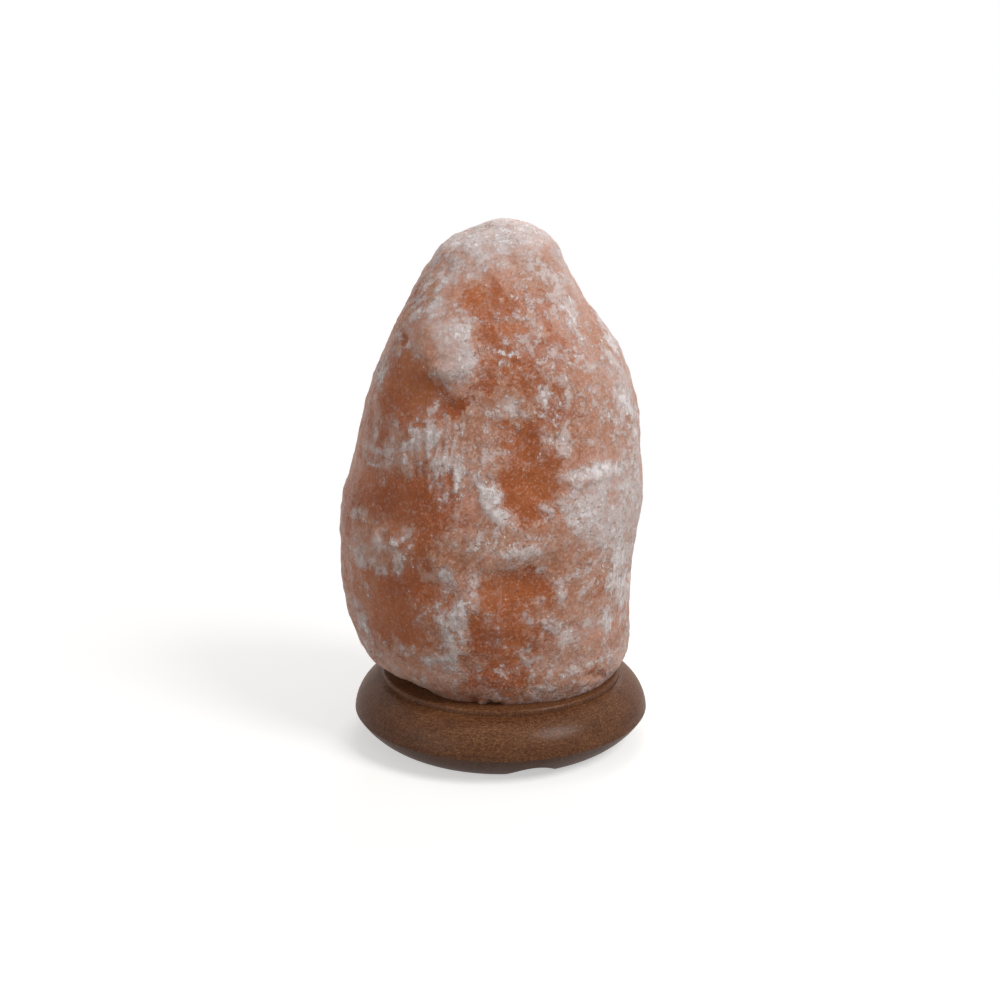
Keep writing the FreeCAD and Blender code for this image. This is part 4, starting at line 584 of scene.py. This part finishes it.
def turnedWood(board):
    # a brown hardwood board, turned on a faceplate and waxed: its fibre runs level across the lamp, so the
    # slopes show short curled dashes of it, darker and redder at the ends, where the fibre is cut across
    material, tree, shader, place = startMaterial("turned_wood", {
        "Roughness": 0.6, "IOR": 1.4, "Specular IOR Level": 0.15, "Coat Weight": 0.2, "Coat Roughness": 0.25})
    alongFibre = (board["dashWide"] / board["dashLong"], 1.0, 1.0)
    alongBoard = (board["streakWide"] / board["streakLong"], 1.0, 1.0)
    fibre = addNode(tree, "Mapping", inputs={"Vector": place, "Scale": alongFibre}).outputs[0]
    length = addNode(tree, "Mapping", inputs={
        "Vector": place, "Rotation": board["streakLean"], "Scale": alongBoard}).outputs[0]
    dashes, curls, streaks = (
        addNode(tree, "TexNoise", inputs={
            "Vector": field, "Scale": 1 / (board[size] * mm), "Detail": detail, "Roughness": rough,
            "Distortion": twist}).outputs["Fac"]
        for field, size, detail, rough, twist in (
            (fibre, "dashWide", 3.0, 0.65, 0.8),
            (place, "curlSize", 4.0, 0.7, 1.2),
            (length, "streakWide", 5.0, 0.55, 0.4)))
    ringPitch = 0.314  # what the rings of the wave pattern are apart at scale 1
    tool = addNode(tree, "TexWave", {"wave_type": "RINGS", "rings_direction": "Z"}, {
        "Vector": place, "Scale": ringPitch / (board["toolPitch"] * mm), "Distortion": 0.6,
        "Detail": 2.0}).outputs["Fac"]
    facing = addNode(tree, "SeparateXYZ", inputs={0: addNode(tree, "NewGeometry").outputs["Normal"]}).outputs
    endShare = addNode(tree, "Math", {"operation": "MULTIPLY"}, {0: facing[0], 1: facing[0]}).outputs[0]
    # painted shade: the faces that look down are darkened in the colour, as the undercut is in shadow
    paintedUndersideShade = addNode(tree, "Math", {"operation": "MINIMUM"}, {0: facing[2], 1: 0.0}).outputs[0]
    tone = weighedSum(tree, -0.82, (streaks, 0.35), (dashes, 1.1), (curls, 1.2), (tool, 0.05),
                      (endShare, -0.14), (paintedUndersideShade, 0.3))
    colour = addNode(tree, "ValToRGB", inputs={"Fac": tone}, stops=board["tones"])
    tree.links.new(colour.outputs["Color"], shader.inputs["Base Color"])
    grooves = weighedSum(tree, 0.0, (dashes, 0.7), (curls, 0.5), (tool, 0.25))
    bump = addNode(tree, "Bump", inputs={
        "Strength": 0.3, "Distance": board["grooveDepth"] * mm, "Height": grooves})
    tree.links.new(bump.outputs[0], shader.inputs["Normal"])
    return material


def workedMetal(name, dark, light, rough, patchSize, scratchSize):
    # a metal part: two tones of the same metal drift over it, and fine marks break up its shine
    scratchDepth = 0.03
    material, tree, shader, place = startMaterial(name, {"Metallic": 1.0})
    drift, marks = (
        addNode(tree, "TexNoise", inputs={
            "Vector": place, "Scale": 1 / (size * mm), "Detail": detail}).outputs["Fac"]
        for size, detail in ((patchSize, 3.0), (scratchSize, 2.0)))
    colour = addNode(tree, "ValToRGB", inputs={"Fac": drift}, stops=((0.3, dark), (0.7, light)))
    tree.links.new(colour.outputs["Color"], shader.inputs["Base Color"])
    shine = addNode(tree, "MapRange", inputs={
        "Value": marks, "From Min": 0.3, "From Max": 0.7, "To Min": rough * 0.8, "To Max": rough * 1.25})
    tree.links.new(shine.outputs[0], shader.inputs["Roughness"])
    bump = addNode(tree, "Bump", inputs={"Strength": 0.15, "Distance": scratchDepth * mm, "Height": marks})
    tree.links.new(bump.outputs[0], shader.inputs["Normal"])
    return material


def mouldedPlastic(name, dark, light, rough, grainSize, gloss):
    # a moulded part: nearly one colour, with the faint orange peel that the mould leaves
    driftSize, peelDepth = 6.0, 0.04
    material, tree, shader, place = startMaterial(name, {"Roughness": rough, **gloss})
    drift, peel = (
        addNode(tree, "TexNoise", inputs={
            "Vector": place, "Scale": 1 / (size * mm), "Detail": detail}).outputs["Fac"]
        for size, detail in ((driftSize, 4.0), (grainSize, 2.0)))
    colour = addNode(tree, "ValToRGB", inputs={"Fac": drift}, stops=((0.35, dark), (0.65, light)))
    tree.links.new(colour.outputs["Color"], shader.inputs["Base Color"])
    bump = addNode(tree, "Bump", inputs={"Strength": 0.2, "Distance": peelDepth * mm, "Height": peel})
    tree.links.new(bump.outputs[0], shader.inputs["Normal"])
    return material


def clearGlass():
    # blown soda glass of the bulb: clear, thin and almost without colour
    driftSize = 20.0
    material, tree, shader, place = startMaterial("clear_glass", {
        "Roughness": 0.02, "IOR": 1.5, "Transmission Weight": 1.0})
    drift = addNode(tree, "TexNoise", inputs={"Vector": place, "Scale": 1 / (driftSize * mm)}).outputs["Fac"]
    colour = addNode(tree, "ValToRGB", inputs={"Fac": drift}, stops=((0.3, "#f3f7f5"), (0.7, "#fbfcfb")))
    tree.links.new(colour.outputs["Color"], shader.inputs["Base Color"])
    return material


waxySkin = {"Subsurface Weight": 0.1, "Subsurface Scale": 0.002}
finishes = {
    "turned_wood": turnedWood(board),
    "nylon": mouldedPlastic("natural_nylon", "#d3cdbd", "#e0dbcd", 0.45, 0.5, waxySkin),
    "nylon_black": mouldedPlastic("black_nylon", "#17181a", "#202224", 0.42, 0.5, {}),
    "zinc_steel": workedMetal("zinc_plated_steel", "#9fa2a3", "#c2c4c1", 0.32, 7.0, 0.6),
    "spring_steel": workedMetal("spring_steel", "#7f8388", "#a3a6a9", 0.27, 9.0, 0.4),
    "phenolic": mouldedPlastic("black_phenolic", "#1c1613", "#2a211c", 0.33, 0.6, {"Coat Weight": 0.2}),
    "brass": workedMetal("brass", "#b08a45", "#cfa95e", 0.28, 6.0, 0.5),
    "clear_glass": clearGlass(),
    "vitrite": mouldedPlastic("vitrite", "#0c0b10", "#17151c", 0.12, 1.5, {"Coat Weight": 0.5}),
    "solder": workedMetal("solder", "#a9abac", "#c9cacb", 0.38, 2.0, 0.3),
    "lead_wire": workedMetal("lead_in_wire", "#a98a76", "#c4a28b", 0.3, 3.0, 0.3),
    "tungsten": workedMetal("tungsten", "#55565a", "#77787c", 0.4, 2.0, 0.2),
}
for row in frame["record"]["subparts"]:
    if row["node"] != "salt_crystal":
        nodes[row["node"]].material_slots[0].material = finishes[row["material_slot"]]
print("materials:", ", ".join(sorted(finishes)))


studio = dict(  # in metres and watts
    floorRadius=4.0, floorCorners=96,
    floorColour="#dcdad7", bounceColour="#86827c",  # the floor as it is seen, and as it lights the lamp
    shadowReach=(0.11, 0.36),  # from the lamp's axis: inside it the floor shows its shadow
    lift=0.5,  # what a ray that is seen gets on the floor, over what the lamps give it
    ambient=0.3, aim=(0.0, 0.0, 0.1),  # the light from all round, and the point that the lamps face
    lamps=(  # name, place, size, power
        ("key", (0.95, -0.65, 1.2), 0.8, 15.6),
        ("fill", (-1.2, -0.8, 0.6), 1.2, 3.6),
        ("back", (0.2, 1.3, 1.1), 1.0, 9.0),
    ),
)


def seenDirectly(tree):
    # 1 for the camera and for what shows in metal or through glass, 0 for the light that falls on the lamp
    path = addNode(tree, "LightPath").outputs
    most = path["Is Camera Ray"]
    for kind in ("Is Glossy Ray", "Is Transmission Ray"):
        most = addNode(tree, "Math", {"operation": "MAXIMUM"}, {0: most, 1: path[kind]}).outputs[0]
    return most


def paleFloor(studio):
    # a matt floor that keeps the shadow round the lamp and turns white away from it; from below it is clear
    material = bpy.data.materials.new("pale_floor")
    material.use_nodes = True
    tree = material.node_tree
    tree.nodes.clear()
    paint = addNode(tree, "BsdfDiffuse", inputs={"Color": linearColour(studio["floorColour"])})
    bounce = addNode(tree, "BsdfDiffuse", inputs={"Color": linearColour(studio["bounceColour"])})
    glow = addNode(tree, "Emission", inputs={"Strength": studio["lift"]})
    near = addNode(tree, "AddShader", inputs={0: paint.outputs[0], 1: glow.outputs[0]})
    white = addNode(tree, "Emission", inputs={"Strength": 1.0})
    place = addNode(tree, "TexCoord").outputs["Object"]
    away = addNode(tree, "VectorMath", {"operation": "LENGTH"}, {0: place}).outputs["Value"]
    start, end = studio["shadowReach"]
    beyond = addNode(tree, "MapRange", eased, {"Value": away, "From Min": start, "From Max": end})
    side = addNode(tree, "NewGeometry").outputs["Backfacing"]
    clear = addNode(tree, "BsdfTransparent")
    seen = seenDirectly(tree)
    shown = addNode(tree, "MixShader", inputs={0: beyond.outputs[0], 1: near.outputs[0], 2: white.outputs[0]})
    above = addNode(tree, "MixShader", inputs={0: seen, 1: bounce.outputs[0], 2: shown.outputs[0]})
    floor = addNode(tree, "MixShader", inputs={0: side, 1: above.outputs[0], 2: clear.outputs[0]})
    addNode(tree, "OutputMaterial", inputs={"Surface": floor.outputs[0]})
    return material


def makeStudio(studio):
    angle = np.linspace(0, 2 * math.pi, studio["floorCorners"], endpoint=False)
    rim = np.stack([np.cos(angle), np.sin(angle), 0 * angle], axis=-1) * studio["floorRadius"]
    mesh = bpy.data.meshes.new("floor")
    mesh.from_pydata(rim.tolist(), [], [list(range(len(rim)))])
    floor = bpy.data.objects.new("floor", mesh)
    bpy.context.scene.collection.objects.link(floor)
    mesh.materials.append(paleFloor(studio))
    for name, place, size, power in studio["lamps"]:
        data = bpy.data.lights.new(name, "AREA")
        data.shape = "DISK"
        data.size = size
        data.energy = power
        lamp = bpy.data.objects.new(name, data)
        lamp.location = place
        lamp.rotation_mode = "QUATERNION"
        lamp.rotation_quaternion = (Vector(place) - Vector(studio["aim"])).to_track_quat("Z", "Y")
        bpy.context.scene.collection.objects.link(lamp)
    world = bpy.data.worlds.new("room")
    world.use_nodes = True
    tree = world.node_tree
    tree.nodes.clear()
    dim = addNode(tree, "Background", inputs={"Color": (1, 1, 1, 1), "Strength": studio["ambient"]})
    white = addNode(tree, "Background", inputs={"Color": (1, 1, 1, 1), "Strength": 1.0})
    both = addNode(tree, "MixShader", inputs={0: seenDirectly(tree), 1: dim.outputs[0], 2: white.outputs[0]})
    addNode(tree, "OutputWorld", inputs={"Surface": both.outputs[0]})
    bpy.context.scene.world = world


viewpoint = dict(  # in millimetres and degrees
    distance=800.0, elevation=16.55, aimHeight=105.0, focal=69.3, sensor=36.0,
    shiftUp=-0.0074, shiftRight=-0.0007,  # shares of the picture's width
)


def makeCamera(view):
    tilt = math.radians(view["elevation"])
    aim = Vector((0, 0, view["aimHeight"] * mm))
    back = Vector((0, -math.cos(tilt), math.sin(tilt)))
    data = bpy.data.cameras.new("camera")
    data.lens = view["focal"]
    data.sensor_width = view["sensor"]
    data.shift_x = view["shiftRight"]
    data.shift_y = view["shiftUp"]
    camera = bpy.data.objects.new("camera", data)
    camera.location = aim + back * view["distance"] * mm
    camera.rotation_mode = "QUATERNION"
    camera.rotation_quaternion = back.to_track_quat("Z", "Y")
    bpy.context.scene.collection.objects.link(camera)
    bpy.context.scene.camera = camera


makeStudio(studio)
makeCamera(viewpoint)
bpy.context.scene.view_settings.view_transform = "Standard"
print("studio:", len(studio["lamps"]), "lamps")
